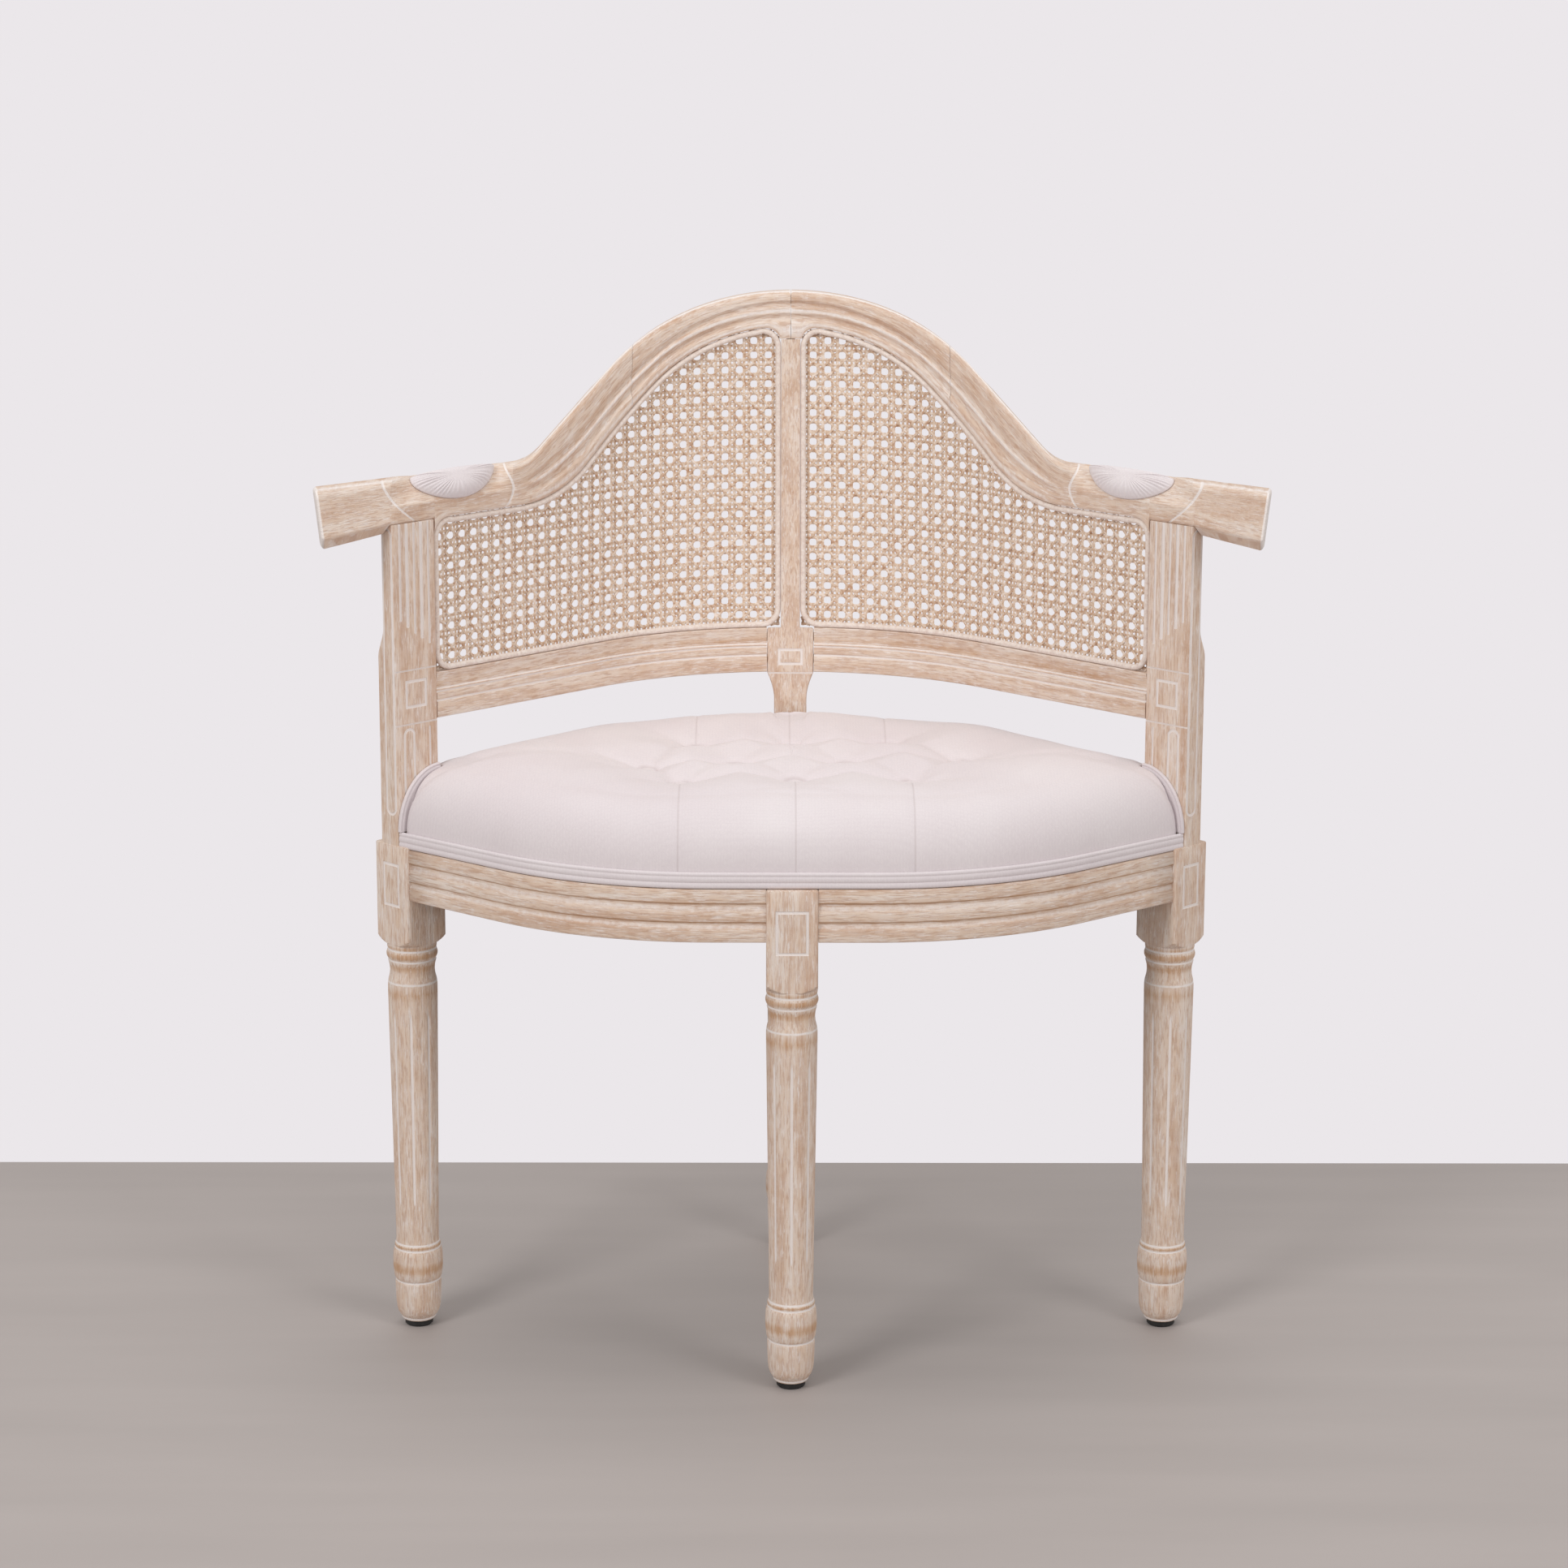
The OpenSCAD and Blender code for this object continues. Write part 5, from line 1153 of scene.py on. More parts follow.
class CHAIR_OT_cane(bpy.types.Operator):
    """Weaves the six-way cane and lays the rattan splines round it"""

    bl_idname = "chair.cane"
    bl_label = "Cane panels"

    def execute(self, context):
        cane, bead = finishes()["woven rattan cane"], finishes()["rattan spline, limed"]
        dress_both(self.weave("cane_weave_left"), cane, "woven_cane", "cane_panel_left")
        dress_both(self.spline("cane_spline_left_bead"), bead, "woven_cane", "cane_spline_left")
        return {"FINISHED"}

    def weave(self, name):
        """The left-hand sheet: upright and level pairs of strands and single slanting ones."""
        sizes = bpy.context.scene.chair_sizes
        pitch, wide, thick = sizes.cane_pitch / MM, sizes.strand_width / MM, sizes.strand_thickness / MM
        left, right, base = cane_field()
        columns, rows = int((right - left) / pitch) + 2, int((CREST_LOW - base) / pitch) + 2
        first_s, first_z = left + MESH_IN, base + MESH_IN
        strands = []
        gap = wide * 0.93
        level = CANE_N + CANE_T / 2
        # Upright pairs: the first behind the level ones, the second in front of them
        for i in range(columns):
            for side in (-1, 1):
                s, n = first_s + i * pitch + side * gap, level - side * 0.55
                strands.append([(s, first_z + (j / 4 - 0.5) * pitch, n) for j in range(rows * 4 + 5)])
        # Level pairs, woven over and under the uprights
        for j in range(rows):
            for side in (-1, 1):
                path = []
                for i in range(columns * 4 + 5):
                    phase = math.cos(2 * math.pi * i / 4 + (math.pi if side > 0 else 0))
                    z = first_z + j * pitch + side * gap
                    path.append((first_s + (i / 4 - 0.5) * pitch, z, level + 0.25 * phase))
                strands.append(path)
        # Slanting strands both ways, half a mesh over, which cut the corners of the open meshes
        for k in range(-rows - 1, columns + rows + 2):
            for slope in (1, -1):
                path = []
                for j in range(rows * 4 + 5):
                    across = slope * (j / 4 - 0.5) * pitch
                    over = -1.0 if (j + (slope > 0) * 2) % 4 < 2 else -0.35
                    s = first_s + (k + 0.5) * pitch + across
                    path.append((s, first_z + (j / 4 - 0.5) * pitch, level + over))
                strands.append(path)
        points, faces = [], []
        rng = random.Random(7)
        for number, path in enumerate(strands):
            width = wide * (0.92 if number >= 2 * columns + 2 * rows else 1.0) * rng.uniform(0.94, 1.06)
            run = []
            for k, (s, z, n) in enumerate(path):
                if inside_cane(s, z):
                    run.append((k, s, z, n))
                    continue
                self.ribbon(run, path, width, thick, points, faces)
                run = []
            self.ribbon(run, path, width, thick, points, faces)
        mesh = bpy.data.meshes.new(name)
        mesh.from_pydata([placed(p) for p in points], [], faces)
        panel = bpy.data.objects.new(name, mesh)
        bpy.context.collection.objects.link(panel)
        mesh.uv_layers.new(name="grain")
        smooth(panel, 50)
        return panel

    def ribbon(self, run, path, width, thick, points, faces):
        """One flat strand with a lens-shaped section through a run of points."""
        if len(run) < 2:
            return
        line = [tuple(p[1:]) for p in run]
        # Each end goes on towards the next point for as far as the sheet does
        for end, k in ((0, run[0][0] - 1), (-1, run[-1][0] + 1)):
            if 0 <= k < len(path):
                for share in (0.8, 0.6, 0.4, 0.2):
                    further = between(line[end], path[k], share)
                    if inside_cane(*further[:2]):
                        line.insert(0 if end == 0 else len(line), further)
                        break
        start = len(points)
        for i, (s, z, n) in enumerate(line):
            a, b = line[max(0, i - 1)], line[min(len(line) - 1, i + 1)]
            along = Vector((b[0] - a[0], b[1] - a[1]))
            side = Vector((-along.y, along.x)).normalized() * width / 2
            for u, lift in ((-1, 0), (-0.45, -0.5), (0.45, -0.5), (1, 0), (0, 0.5)):
                points.append(back_point(s + side.x * u, z + side.y * u, n + lift * thick))
        for i in range(len(line) - 1):
            for j in range(5):
                a, b = start + i * 5 + j, start + i * 5 + (j + 1) % 5
                faces.append((a, a + 5, b + 5, b))
        end = start + (len(line) - 1) * 5
        faces.append(tuple(start + j for j in range(5)))
        faces.append(tuple(end + j for j in range(4, -1, -1)))

    def spline(self, name):
        """The left-hand reed, pressed in round the sheet's edge."""
        bend, inset = SPLINE_BEND, SPLINE_INSET
        s0, s1, z0 = STILE_W / 2 + inset, POST_S - POST_IN - inset, BACK_Z + BACK_RAIL_H + inset
        # Chords of 23 mm lie this much inside the crest's tightest curve, of 119 mm radius
        sag = 23.0 * 23.0 / 119 / 8

        def arc(s, z, first, last, steps=8):
            angles = [math.radians(first + (last - first) * k / steps) for k in range(steps + 1)]
            return [(s + bend * math.cos(a), z + bend * math.sin(a)) for a in angles]

        path = arc(s1 - bend, z0 + bend, -90, 0)
        path += arc(s1 - bend, crest_edge(s1) - inset - bend, 0, 90)
        for k in range(1, 72):
            s = s1 - bend + (s0 - s1 + 2 * bend) * k / 72
            slope = crest_low(s + 1) - crest_low(s)
            path.append((s, crest_low(s) - inset * math.hypot(1, slope) - sag))
        path += arc(s0 + bend, crest_low(s0 + bend) - inset - bend, 90, 180)
        path += arc(s0 + bend, z0 + bend, 180, 270)
        path += [(s0 + bend + (s1 - s0 - 2 * bend) * k / 50, z0) for k in range(1, 50)]
        rings = []
        for i, (s, z) in enumerate(path):
            a, b = path[i - 1], path[(i + 1) % len(path)]
            d = Vector((b[0] - a[0], b[1] - a[1])).normalized()
            ring = []
            for k in range(12):
                angle = 2 * math.pi * k / 12
                side, deep = SPLINE_W / 2 * math.cos(angle), SPLINE_W / 2 * math.sin(angle)
                ring.append(back_point(s + d.y * side, z - d.x * side, CANE_N - SPLINE_INSET - deep))
            rings.append(ring)
        return sweep(name, rings, looped=True, degrees=80)


# Upholstery


def front_arc(inset, steps):
    """The front rails' curve in plan, from the flat middle to the left, set in from their face."""
    r, middle_y = FRONT_R - inset, FRONT_FACE_Y + FRONT_R
    angles = [FRONT_ANGLE * i / steps for i in range(steps + 1)]
    return [(-FRONT_FLAT - r * math.sin(a), middle_y - r * math.cos(a)) for a in angles]


def rear_arc(inset, stop, steps):
    """The rear rails' curve in plan, from the left to the stile, set in from their face."""
    r = REAR_R - inset
    out = []
    for i in range(steps, -1, -1):
        a = stop + (math.pi / 4 - stop) * i / steps
        out.append((-r * math.sin(a), REAR_Y + r * math.cos(a)))
    return out


def front_line(inset):
    """Where the front rails' straight part, set in from its face, would cross the middle line."""
    return (
        FRONT_FACE_Y + FRONT_R * (1 - math.cos(FRONT_ANGLE))
        - (FRONT_FLAT + FRONT_R * math.sin(FRONT_ANGLE)) * math.tan(FRONT_ANGLE)
        + inset / math.cos(FRONT_ANGLE)
    )


def side_point(x, y):
    """A point of the left block's own square in plan."""
    return (-SIDE_X + (x - y) / ROOT2, (x + y) / ROOT2)


def cushion_outline(inset):
    """Half of the cushion's plan with the lift of its wall: (x, y, lift) from the front to the stile."""
    notch = SIDE_X - POST_FACE * ROOT2 - inset * ROOT2
    x = (notch - front_line(inset)) / (1 + math.tan(FRONT_ANGLE))
    corner = (-x, notch - x)
    inner = side_point(POST_IN + inset, -POST_FACE - inset)
    back = side_point(POST_IN + inset, RAIL_T / 2 - inset)
    stop = math.asin((STILE_FOOT_W / 2 + inset) / (REAR_R - inset))
    arc = front_arc(inset, 26)
    rear = rear_arc(inset, stop, 30)
    points = [(-FRONT_FLAT * k / 13, FRONT_FACE_Y + inset, 0) for k in range(13)] + [(*p, 0) for p in arc]
    points += [(*between(arc[-1], corner, k / 10), 0) for k in range(1, 10)]
    for k in range(9):
        rise = 0.94 * math.sqrt(1 - (1 - max(0.0, k / 8 - 0.12) / 0.88) ** 2)
        points.append((*between(corner, inner, k / 8), rise))
    points += [(*between(inner, back, 0.5), 0.9), (*back, 0.75)]
    points += [(*between(back, rear[0], k / 7), 0.75 * max(0.0, 1 - k / 7 * 3.5)) for k in range(1, 7)]
    points += [(*p, 0) for p in rear[:-3]] + [(*p, lift) for p, lift in zip(rear[-3:], (0.3, 0.62, 0.88))]
    stile_y = REAR_REACH + BLOCK_W / 2 - 4 - STILE_SLAB - inset
    points += [(-STILE_FOOT_W / 2 - inset / 2, stile_y, 0.97), (-STILE_FOOT_W / 4, stile_y, 1)]
    return points + [(0, stile_y, 1)] + [(-p[0], p[1], p[2]) for p in points[:0:-1]]


# The hand-sewn buttons, in shares of their spacing from the seat's middle
BUTTONS = [
    (x * BUTTON_X, SEAT_MID + y * BUTTON_Y)
    for x, y in (
        (-0.87, 1.00), (-0.01, 1.05), (0.87, 1.13), (-1.28, -0.26), (-0.50, -0.06), (0.47, 0.02),
        (1.50, 0.15), (-0.97, -1.06), (0.03, -0.94), (1.04, -1.00),
    )
]
# Pleats from button to button, with their shares of a full pleat's depth
PLEATS = [
    (0, 1, 1.0), (1, 2, 1.0), (0, 3, 0.7), (2, 6, 0.7), (3, 4, 1.0), (4, 5, 1.0), (5, 6, 1.0), (3, 7, 1.0),
    (6, 9, 1.0), (7, 8, 1.0), (8, 9, 1.0), (0, 4, 0.3), (1, 4, 0.35), (1, 5, 0.35), (2, 5, 0.3), (4, 7, 0.3),
    (4, 8, 0.3), (5, 8, 0.35), (5, 9, 0.3),
]
# Seams from the outer buttons to the edge: the button, and the far end of its seam
SEAMS = [
    (0, (-82.65, 235)), (1, (-0.95, 235)), (2, (82.65, 235)),
    (7, (-92.15, -175)), (8, (2.85, -175)), (9, (98.8, -175)),
]
# Folds that run out from the outer buttons and die away: the button, and the far end
TAILS = [
    (i, (BUTTONS[i][0] + x, BUTTONS[i][1] + y))
    for i, x, y in (
        (3, -95, 34), (3, -50, -40), (0, -60, 40), (7, -70, -30), (6, 95, 30), (6, 55, -45),
        (2, 60, 40), (9, 75, -30), (1, -30, 45), (1, 30, 45), (8, -30, -50), (8, 30, -50),
    )
]


def segment_distance(x, y, a, b):
    """Distances from points to a segment, and their shares along it."""
    dx, dy = b[0] - a[0], b[1] - a[1]
    t = np.clip(((x - a[0]) * dx + (y - a[1]) * dy) / (dx * dx + dy * dy), 0, 1)
    return np.hypot(x - a[0] - dx * t, y - a[1] - dy * t), t


def nearest_button(x, y):
    """Distances from points to the button nearest each."""
    return np.min([np.hypot(x - b[0], y - b[1]) for b in BUTTONS], axis=0)


def tufting(x, y, deep):
    """How far the seat's top is drawn down at each point, by the buttons' wells and the pleats."""
    near = nearest_button(x, y)
    well = deep * (0.80 * np.exp(-((near / 54.0) ** 2)) + 0.33 * np.exp(-((near / 11.0) ** 2)))
    fold = np.zeros(len(x))
    for i, j, share in PLEATS:
        d, t = segment_distance(x, y, BUTTONS[i], BUTTONS[j])
        fold = np.maximum(fold, 5.0 * share * (1 - 0.5 * (2 * t - 1) ** 6) * np.exp(-((d / 8.5) ** 1.35)))
    for i, end in TAILS:
        d, t = segment_distance(x, y, BUTTONS[i], end)
        fold = np.maximum(fold, 4.2 * (1 - t) ** 1.3 * np.exp(-((d / (5.0 + 6.0 * t)) ** 1.3)))
    return well + fold


def seam_at(x, y):
    """Share of a stitched seam's groove at each point, 1 on its line."""
    across = np.min([segment_distance(x, y, BUTTONS[i], end)[0] for i, end in SEAMS], axis=0)
    return np.clip(1 - (across / 5.0) ** 2, 0, 1) ** 2


def crease_shade_at(x, y):
    """How much painted shade the cloth gets at each point, in the deep pleats and in a ring round each
    button.
    """
    deep = [(i, j) for i, j, share in PLEATS if share > 0.5]
    across = np.min([segment_distance(x, y, BUTTONS[i], BUTTONS[j])[0] for i, j in deep], axis=0)
    ring = np.exp(-(((nearest_button(x, y) - 8.5) / 2.0) ** 2))
    return np.maximum(0.12 * np.exp(-((across / 3.0) ** 2)), 0.45 * ring)


def points_of(mesh):
    """A mesh's points as three arrays in the source's millimetres."""
    flat = np.empty(len(mesh.vertices) * 3)
    mesh.vertices.foreach_get("co", flat)
    x, y, z = flat.reshape(-1, 3).T / MM
    return x, y - SHIFT, z


def raise_points(mesh, up):
    """Moves each point of a mesh up by its own millimetres."""
    flat = np.empty(len(mesh.vertices) * 3)
    mesh.vertices.foreach_get("co", flat)
    flat[2::3] += up * MM
    mesh.vertices.foreach_set("co", flat)


class CHAIR_OT_cushion(bpy.types.Operator):
    """Makes the stuffed and buttoned seat, swelled by a short cloth simulation"""

    bl_idname = "chair.cushion"
    bl_label = "Seat cushion"

    def execute(self, context):
        sizes = context.scene.chair_sizes
        outline = cushion_outline(CUSHION_IN)
        mid = Vector((0, SEAT_MID))

        def edge(p):
            """Height of the rounded edge's top over the roll: lower at the front and at the posts."""
            rear = 0.9 - 0.11 * ramp(abs(p[0]), 165, 300) ** 1.4
            return (CROWN_Z - ROLL_Z) * (EDGE_SHARE if p[1] < 0 else rear)

        def drawn(p, d):
            """A point of the outline, drawn in towards the middle."""
            c = Vector(p[:2])
            return c + (mid - c).normalized() * d

        def roll_at(p):
            """How far the rounded edge reaches in: further at the front than behind."""
            return ROLL_FRONT - (ROLL_FRONT - ROLL_REAR) * ramp(p[1], POST_Y, SEAT_MID)

        rings = [[(p[0] * 0.6, mid.y + (p[1] - mid.y) * 0.6, BLOCK_TOP + 0.5) for p in outline]]
        rings += [[(p[0], p[1], BLOCK_TOP + up) for p in outline] for up in (0.5, 6)]
        for k in range(13):
            a = math.radians(90 * k / 12)
            ring = []
            for p in outline:
                q = drawn(p, roll_at(p) * (1 - math.cos(a)))
                ring.append((q.x, q.y, ROLL_Z + edge(p) * (p[2] + (1 - p[2]) * math.sin(a))))
            rings.append(ring)
        for k in range(1, 60):
            share = k / 60
            ring = []
            for p in outline:
                q = drawn(p, roll_at(p))
                r = q + (mid - q) * share
                z = CROWN_Z - (CROWN_Z - ROLL_Z - edge(p)) * (1 - share) ** 6
                ring.append((r.x, r.y, z))
            rings.append(ring)
        around = range(len(outline))
        rings.append([(mid.x + 0.01 * math.cos(k), mid.y + 0.01 * math.sin(k), CROWN_Z) for k in around])
        cushion = sweep("seat_cushion_linen", rings, degrees=180)
        edit(
            cushion,
            ("remove_doubles", {"threshold": 5e-5}),
            ("normals_make_consistent", {"inside": False}),
        )
        mesh = cushion.data
        x, y, z = points_of(mesh)
        raise_points(mesh, -tufting(x, y, sizes.tuft_depth / MM) * np.clip((z - ROLL_Z - 2) / 38, 0, 1))
        self.swell(cushion, sizes.swell)
        x, y, z = points_of(mesh)
        ripple = np.array([
            noise.noise(Vector(p) * 0.018) * 1.1 + noise.noise(Vector(p) * 0.05) * 0.25
            for p in zip(x, y, z)
        ])
        raise_points(mesh, ripple * np.clip((z - ROLL_Z - 2) / 23, 0, 1))
        only(cushion)
        soft = cushion.modifiers.new("soften", "SUBSURF")
        soft.levels = soft.render_levels = 1
        bpy.ops.object.modifier_apply(modifier=soft.name)
        mesh = cushion.data
        # Painted shade in the pleats and round the buttons, for the cloth's colour
        shade = mesh.attributes.new("crease", "FLOAT", "POINT")
        x, y, z = points_of(mesh)
        above = np.clip((z - WELT_Z - 10) / 4, 0, 1)
        for v, depth in zip(mesh.vertices, seam_at(x, y) * above * 0.8 * MM):
            if depth:
                v.co -= v.normal * depth
        shade.data.foreach_set("value", crease_shade_at(x, y) * above)
        dress(cushion, finishes()["off-white linen, seamed"], "linen", "seat_cushion")
        self.buttons(context)
        return {"FINISHED"}

    def swell(self, cushion, most):
        """Inflates the tufted top with the wall and the buttons' wells pinned."""
        only(cushion)
        mesh = cushion.data
        start = [v.co.copy() for v in mesh.vertices]
        pins = cushion.vertex_groups.new(name="pins")
        x, y, z = points_of(mesh)
        # Held fast below PIN_Z and within PIN_R of a button, and free from 18 and 8 mm further on
        held = np.maximum(1 - (z - PIN_Z) / 18, 1 - (nearest_button(x, y) - PIN_R) / 8)
        for index, weight in enumerate(np.clip(held, 0, 1)):
            pins.add([index], float(weight), "REPLACE")
        cloth = cushion.modifiers.new("cloth", "CLOTH")
        settings = cloth.settings
        settings.vertex_group_mass = "pins"
        settings.effector_weights.gravity = 0
        settings.use_pressure = True
        settings.uniform_pressure_force = 3.0
        settings.tension_stiffness = settings.compression_stiffness = 40
        settings.bending_stiffness = 4
        settings.quality = 6
        cloth.collision_settings.use_collision = False
        scene = bpy.context.scene
        for f in range(1, 15):
            scene.frame_set(f)
        bpy.ops.object.modifier_apply(modifier=cloth.name)
        scene.frame_set(1)
        for v, before in zip(mesh.vertices, start):
            step = v.co - before
            if step.length > most:
                v.co = before + step.normalized() * most
        cushion.vertex_groups.clear()

    def buttons(self, context):
        """Covered buttons, each with its cloth gathered in six folds under the rim."""
        radius = context.scene.chair_sizes.button_radius / MM
        pieces = []
        rng = random.Random(3)
        dome = [
            (0.0, 0.0), (0.80, 0.0), (0.93, 0.6), (1.0, 1.5), (0.985, 2.3), (0.90, 3.2), (0.74, 4.0),
            (0.5, 4.6), (0.25, 4.9), (0.004, 5.0),
        ]
        for i, (x, y) in enumerate(BUTTONS):
            fold = rng.uniform(0, 6.28)
            base = CROWN_Z - BUTTON_WELL
            rings = []
            for r, z in dome:
                ring = []
                for k in range(32):
                    a = 2 * math.pi * k / 32
                    reach = radius * r * (1 + 0.02 * math.cos(6 * a + fold) * (r > 0.6))
                    ring.append((x + reach * math.cos(a), y + reach * math.sin(a), base + z))
                rings.append(ring)
            pieces.append(sweep("tuft_button_%02d" % i, rings, degrees=180))
        buttons = joined("tuft_buttons_linen", *pieces)
        dress(buttons, finishes()["off-white linen"], "linen", "tuft_buttons")


# Sections of the welt round the seat, as (out, up), and of its tails, as (side, out)
WELT_SECTION = [
    (0.6, 0.0), (2.3, 0.4), (3.0, 1.6), (3.1, 3.2), (2.6, 4.6), (2.2, 5.1), (2.6, 5.7), (3.0, 7.2),
    (2.9, 8.8), (2.5, 9.9), (2.2, 10.3), (2.5, 10.8), (2.6, 12.0), (2.0, 13.2), (0.8, 13.6), (0.1, 13.2),
    (0.1, 6.5), (0.1, 0.4),
]
TAIL_SECTION = [
    (-6.1, 0.0), (-6.2, 1.4), (-5.6, 2.6), (-4.2, 3.1), (-2.4, 2.9), (-1.0, 2.4), (0.6, 2.6), (2.6, 2.9),
    (3.4, 2.5), (3.9, 2.1), (4.4, 2.6), (5.3, 2.9), (6.0, 2.2), (6.1, 1.0), (6.0, 0.0),
]


class CHAIR_OT_welts(bpy.types.Operator):
    """Sews the double welts along the seat rails and up the posts"""

    bl_idname = "chair.welts"
    bl_label = "Welts"

    def execute(self, context):
        linen = finishes()["off-white linen"]
        arc = front_arc(WELT_IN, 24)
        stop = SIDE_X - (POST_FACE + 0.4) * ROOT2
        x = (stop - front_line(WELT_IN)) / (1 + math.tan(FRONT_ANGLE))
        end = (-x, stop - x)
        half = [(-6.4 * k, FRONT_FACE_Y + WELT_IN) for k in range(10)] + arc
        half += [between(arc[-1], end, k / 12) for k in range(1, 13)]
        path = [(-p[0], p[1]) for p in half[:0:-1]] + half
        front = self.band("seat_welt_front_linen", path, WELT_Z)
        dress(front, linen, "linen", "seat_welt_front")

        start = math.asin((STILE_FOOT_W / 2 + 0.6) / (REAR_R - WELT_IN))
        rear = rear_arc(WELT_IN, start, 30)
        far = side_point(22.5, RAIL_T / 2 - WELT_IN)
        rear = [between(far, rear[0], k / 8) for k in range(8)] + rear
        left = self.band("seat_welt_rear_left_linen", rear, WELT_Z)
        right = mirrored(left, "seat_welt_rear_right_linen")
        both = joined("seat_welt_rear_linen", left, right)
        dress(both, linen, "linen", "seat_welt_rear")

        tail = self.tail("post_welt_left_linen")
        dress(tail, linen, "linen", "post_welt_left")
        twin = mirrored(tail, "post_welt_right_linen")
        dress(twin, linen, "linen", "post_welt_right")
        return {"FINISHED"}

    def band(self, name, path, z):
        """A flat double cord along a level path, which faces the path's right-hand side."""
        rings = []
        for i, (x, y) in enumerate(path):
            a, b = path[max(0, i - 1)], path[min(len(path) - 1, i + 1)]
            d = Vector((b[0] - a[0], b[1] - a[1])).normalized()
            out = Vector((-d.y, d.x))
            pull = 1 + 0.03 * noise.noise(Vector((x, y, 0)) * 0.05)
            rings.append([(x + out.x * n * pull, y + out.y * n * pull, z + h) for n, h in WELT_SECTION])
        return sweep(name, rings, degrees=70)

    def tail(self, name):
        """The welt's tail up a post's face, in the block's own square."""
        top = ROLL_Z + (CROWN_Z - ROLL_Z) * EDGE_SHARE
        foot, half = WELT_Z + WELT_H, 6.3
        width, rise = POST_OUT + POST_IN - 6.6, top - foot - half
        path = []
        for a in [math.radians(90 * k / 24) for k in range(25)]:
            path.append((half - POST_OUT + width * (1 - math.cos(a)), foot + rise * math.sin(a)))
        rings = []
        for i, (x, z) in enumerate(path):
            a, b = path[max(0, i - 1)], path[min(len(path) - 1, i + 1)]
            d = Vector((b[0] - a[0], b[1] - a[1])).normalized()
            ring = []
            for side, deep in TAIL_SECTION:
                ring.append((*side_point(x - d.y * side, -POST_FACE - 0.35 - deep), z + d.x * side))
            rings.append(ring)
        return sweep(name, rings, degrees=80)


class CHAIR_OT_arm_pads(bpy.types.Operator):
    """Stuffs the two half-oval arm pads, with their gathered lower edges"""

    bl_idname = "chair.arm_pads"
    bl_label = "Arm pads"

    def execute(self, context):
        tall = context.scene.chair_sizes.pad_height / MM

        def on_face(u, v, h):
            """A point over the arm's slanted face: u along it, v from -1 at the foot to 1 at the top."""
            s = PAD_S + 3 + u * (PAD_L / 2 - 0.5)
            low = Vector(back_point(s, ARM_Z + PAD_LOW * (ARM_TOP - ARM_Z), 0))
            high = Vector(back_point(s - PAD_SLANT * math.tan(turn(s)), ARM_TOP, PAD_SLANT))
            across = high - low
            out = Vector((1, 1, 0)).cross(across).normalized()
            return tuple((low + high) / 2 + across * v / 2 + out * h)

        def edge(a):
            """The half oval: round below, and nearly straight along the arm's upper edge."""
            u, up = math.cos(a), math.sin(a)
            return u, (0.86 + 0.22 * up if up > 0 else 0.86 + 1.84 * up * (1 - 0.28 * u))

        steps, around = 30, 288
        angles = [2 * math.pi * j / around for j in range(around)]
        rings = []
        for r in (0.05, 0.9, 0.985):
            rings.append([on_face(r * u, 0.3 + r * (v - 0.3), 0.4) for u, v in map(edge, angles)])
        for k in range(steps + 1):
            r = 1 - (k / steps) ** 1.3
            lift = (1 - r ** 3.4) ** 0.7
            ring = []
            for a in angles:
                u, v = edge(a)
                gather = math.sin(a * 46 + 2.4 * math.sin(a * 5)) * (0.6 + 0.4 * math.sin(a * 9))
                gather *= 1.5 * r ** 2 * lift * (1.0 if math.sin(a) < 0 else 0.5)
                rim = dent(r, 0.9, 0.1) * max(0.0, math.sin(a))
                ring.append(on_face(r * u, 0.3 + r * (v - 0.3), 0.45 + tall * lift + gather + rim))
            rings.append(ring)
        pad = sweep("arm_pad_left_linen", rings, degrees=180)
        edit(
            pad,
            ("remove_doubles", {"threshold": 2e-5}),
            ("normals_make_consistent", {"inside": False}),
        )
        for piece, node in ((pad, "arm_pad_left"), (mirrored(pad, "arm_pad_right_linen"), "arm_pad_right")):
            dress(piece, finishes()["off-white linen"], "linen", node)
        return {"FINISHED"}


# Under the seat


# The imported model's own nodes that stay, by the finish that they get
KEPT_NODES = {
    "raw sawn pine": (
        "front_corner_block", "left_corner_block", "right_corner_block", "rear_corner_block", "seat_board",
        "seat_rail_dowels", "back_rail_dowels", "crest_dowels",
    ),
    "zinc-plated steel": ("corner_block_screws", "seat_board_screws"),
    "moulded black nylon": ("front_glide", "left_glide", "right_glide", "rear_glide"),
}


def seat_radius(angle):
    """Distance from the seat's middle to the dust cover's edge in a direction."""
    d = Vector((math.cos(angle), math.sin(angle)))
    block = BLOCK_W / 2 + 0.5
    front_r, rear_r = FRONT_R - COVER_IN, REAR_R - COVER_IN

    def inside(r):
        """Whether the cover reaches that far: inside the rails' faces and clear of the blocks."""
        x, y = abs(d.x * r), SEAT_MID + d.y * r
        past_flat = x - FRONT_FLAT
        if y < FRONT_FACE_Y + COVER_IN or y < front_line(COVER_IN) + x * math.tan(FRONT_ANGLE):
            return False
        if 0 < past_flat < front_r * math.sin(FRONT_ANGLE):
            if y < FRONT_FACE_Y + FRONT_R - math.sqrt(front_r ** 2 - past_flat ** 2):
                return False
        if y > 0 and math.hypot(x, y - REAR_Y) > rear_r and x < rear_r / ROOT2:
            return False
        if y + x > SIDE_X + (RAIL_T / 2 - COVER_IN) * ROOT2:
            return False
        if x < block and (abs(y + FRONT_REACH) < block or abs(y - REAR_REACH) < block):
            return False
        return abs(SIDE_X - x) + abs(y) > block * ROOT2

    r = 40.0
    while r < 420.0 and inside(r):
        r += 2.0
    lo, hi = r - 2.0, r
    for _ in range(12):
        m = (lo + hi) / 2
        lo, hi = (m, hi) if inside(m) else (lo, m)
    return lo


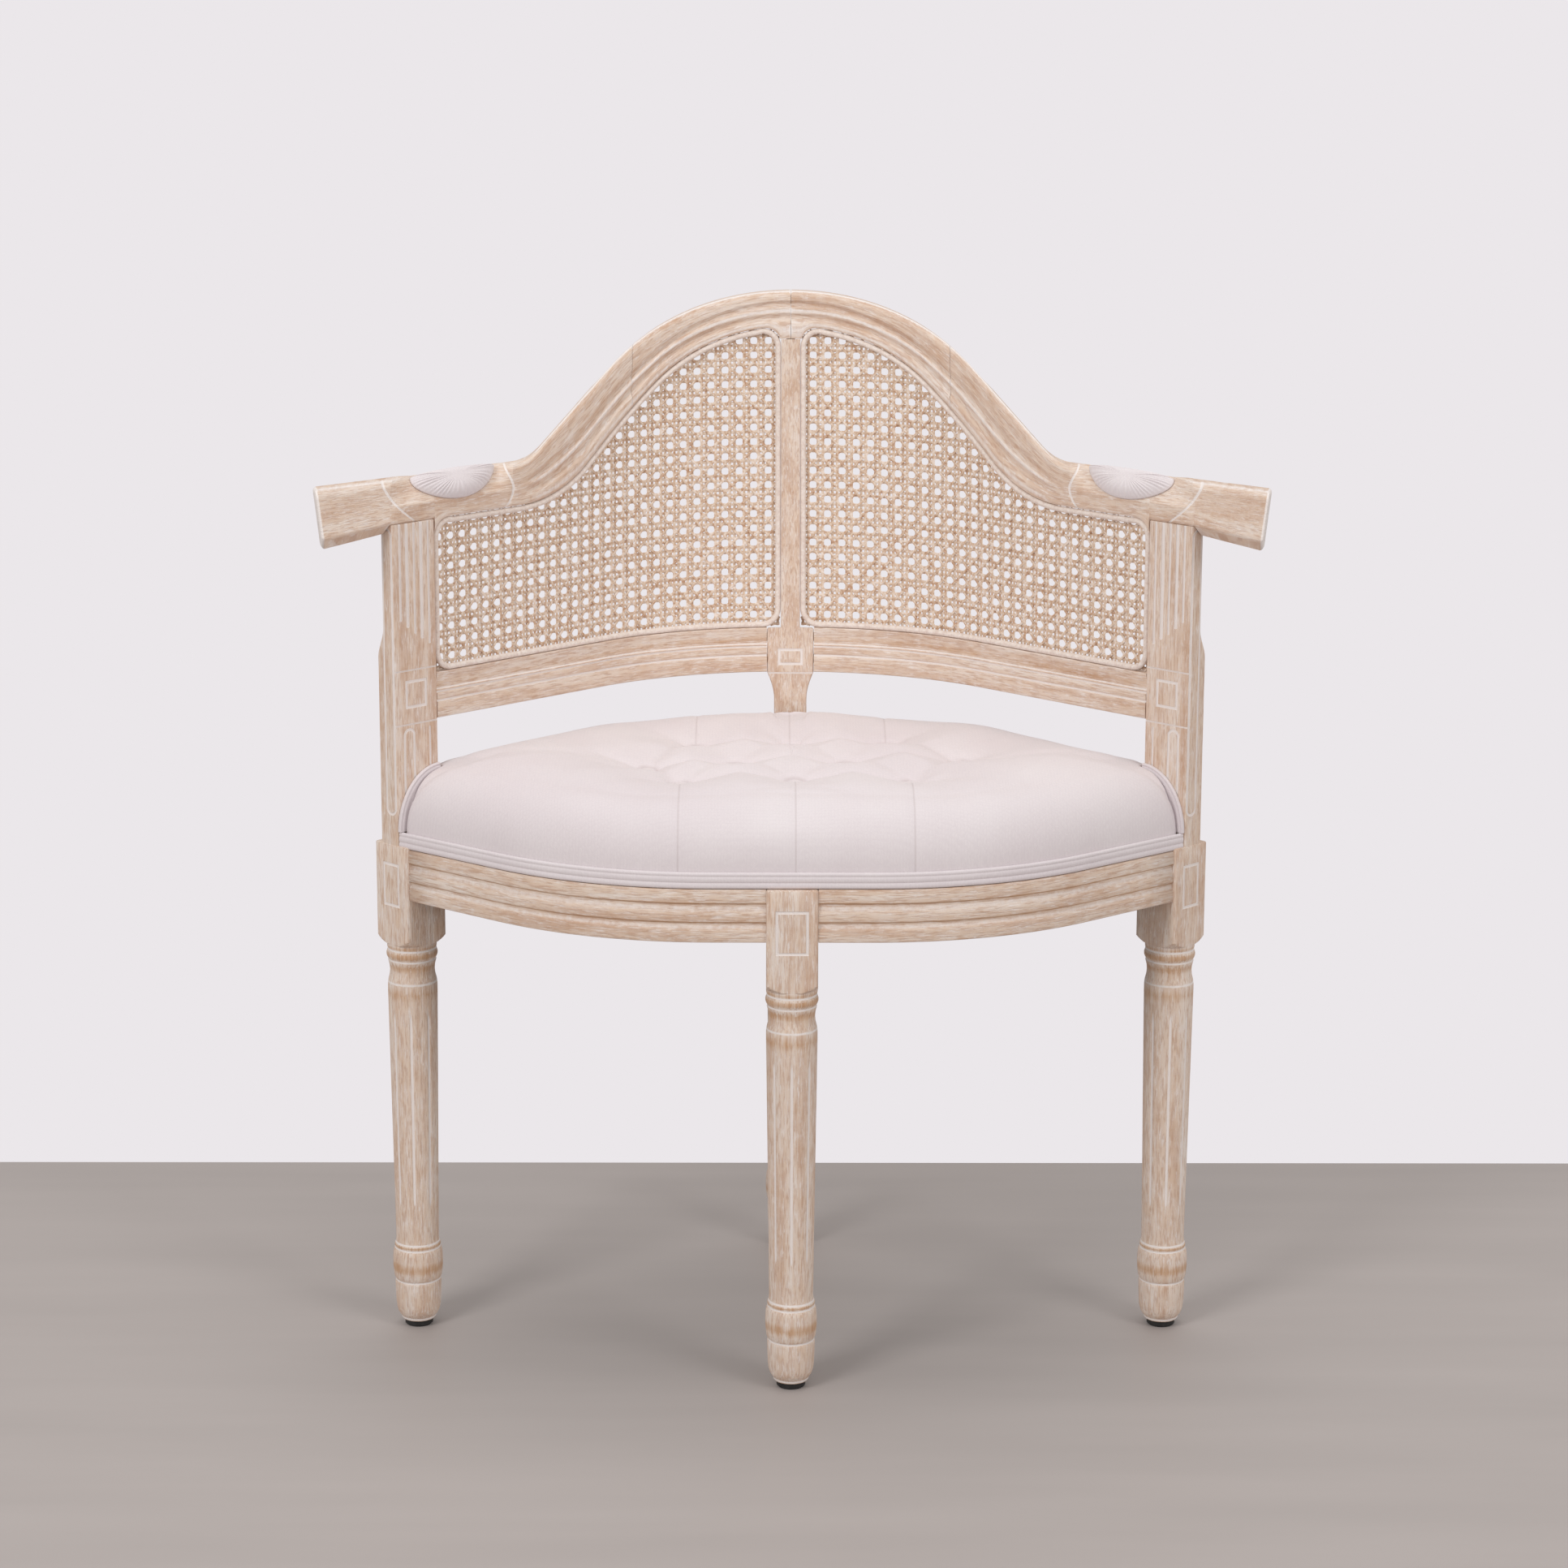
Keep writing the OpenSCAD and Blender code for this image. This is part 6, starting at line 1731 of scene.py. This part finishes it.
class CHAIR_OT_underside(bpy.types.Operator):
    """Stretches the dust cover under the seat and finishes the small parts"""

    bl_idname = "chair.underside"
    bl_label = "Underside and glides"

    def execute(self, context):
        made = finishes()
        around = 240
        radii = [seat_radius(2 * math.pi * k / around) for k in range(around)]
        z = SEAT_H - RAIL_H - 0.7
        rings = []
        for share in (1.0, 0.97, 0.93, 0.85, 0.75, 0.62, 0.48, 0.32, 0.16, 0.001):
            ring = []
            for k, r in enumerate(radii):
                a = 2 * math.pi * k / around
                pucker = 0.75 * math.sin(a * 60) * max(0.0, share - 0.9)
                sag = 0.0 if share > 0.9 else 0.88 * (1 - share) ** 0.6
                x, y = r * share * math.cos(a), SEAT_MID + r * share * math.sin(a)
                ring.append((x, y, z + pucker - sag))
            rings.append(ring)
        cover = sweep("dust_cover_cloth", rings, capped=False, degrees=180)
        edit(cover, ("remove_doubles", {"threshold": 5e-4}))
        thickened(cover, 0.4 * MM)
        dress(cover, made["spun-bonded dust cloth"], "black_cambric", "dust_cover")

        for material, nodes in KEPT_NODES.items():
            for node in nodes:
                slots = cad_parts[node].data.materials
                if len(slots) == 0:
                    slots.append(made[material])
                for k in range(len(slots)):
                    slots[k] = made[material]
        return {"FINISHED"}


class CHAIR_PT_panel(bpy.types.Panel):
    """Lists the chair's pieces and settings"""

    bl_label = "Corner chair"
    bl_space_type = "VIEW_3D"
    bl_region_type = "UI"
    bl_category = "Corner chair"

    def draw(self, context):
        for step in STEPS:
            self.layout.operator(step.bl_idname)
        for group in (context.scene.chair_sizes, context.scene.chair_looks):
            box = self.layout.box()
            for name in group.bl_rna.properties.keys():
                if name not in ("rna_type", "name"):
                    box.prop(group, name)


STEPS = (
    CHAIR_OT_stage, CHAIR_OT_legs, CHAIR_OT_seat_rails, CHAIR_OT_back_rails, CHAIR_OT_crest_and_arms,
    CHAIR_OT_cane, CHAIR_OT_cushion, CHAIR_OT_welts, CHAIR_OT_arm_pads, CHAIR_OT_underside,
)
CLASSES = (ChairLooks, ChairSizes, *STEPS, CHAIR_PT_panel)


def register():
    """Adds the operators, the panel and the scene's settings."""
    for c in CLASSES:
        bpy.utils.register_class(c)
    bpy.types.Scene.chair_looks = PointerProperty(type=ChairLooks)
    bpy.types.Scene.chair_sizes = PointerProperty(type=ChairSizes)


def unregister():
    """Takes them away again."""
    del bpy.types.Scene.chair_looks
    del bpy.types.Scene.chair_sizes
    for c in reversed(CLASSES):
        bpy.utils.unregister_class(c)


def main():
    """Builds the chair on its stage."""
    register()
    for step in STEPS:
        group, name = step.bl_idname.split(".")
        getattr(getattr(bpy.ops, group), name)()
    nothing_selected()


if __name__ == "__main__":
    main()
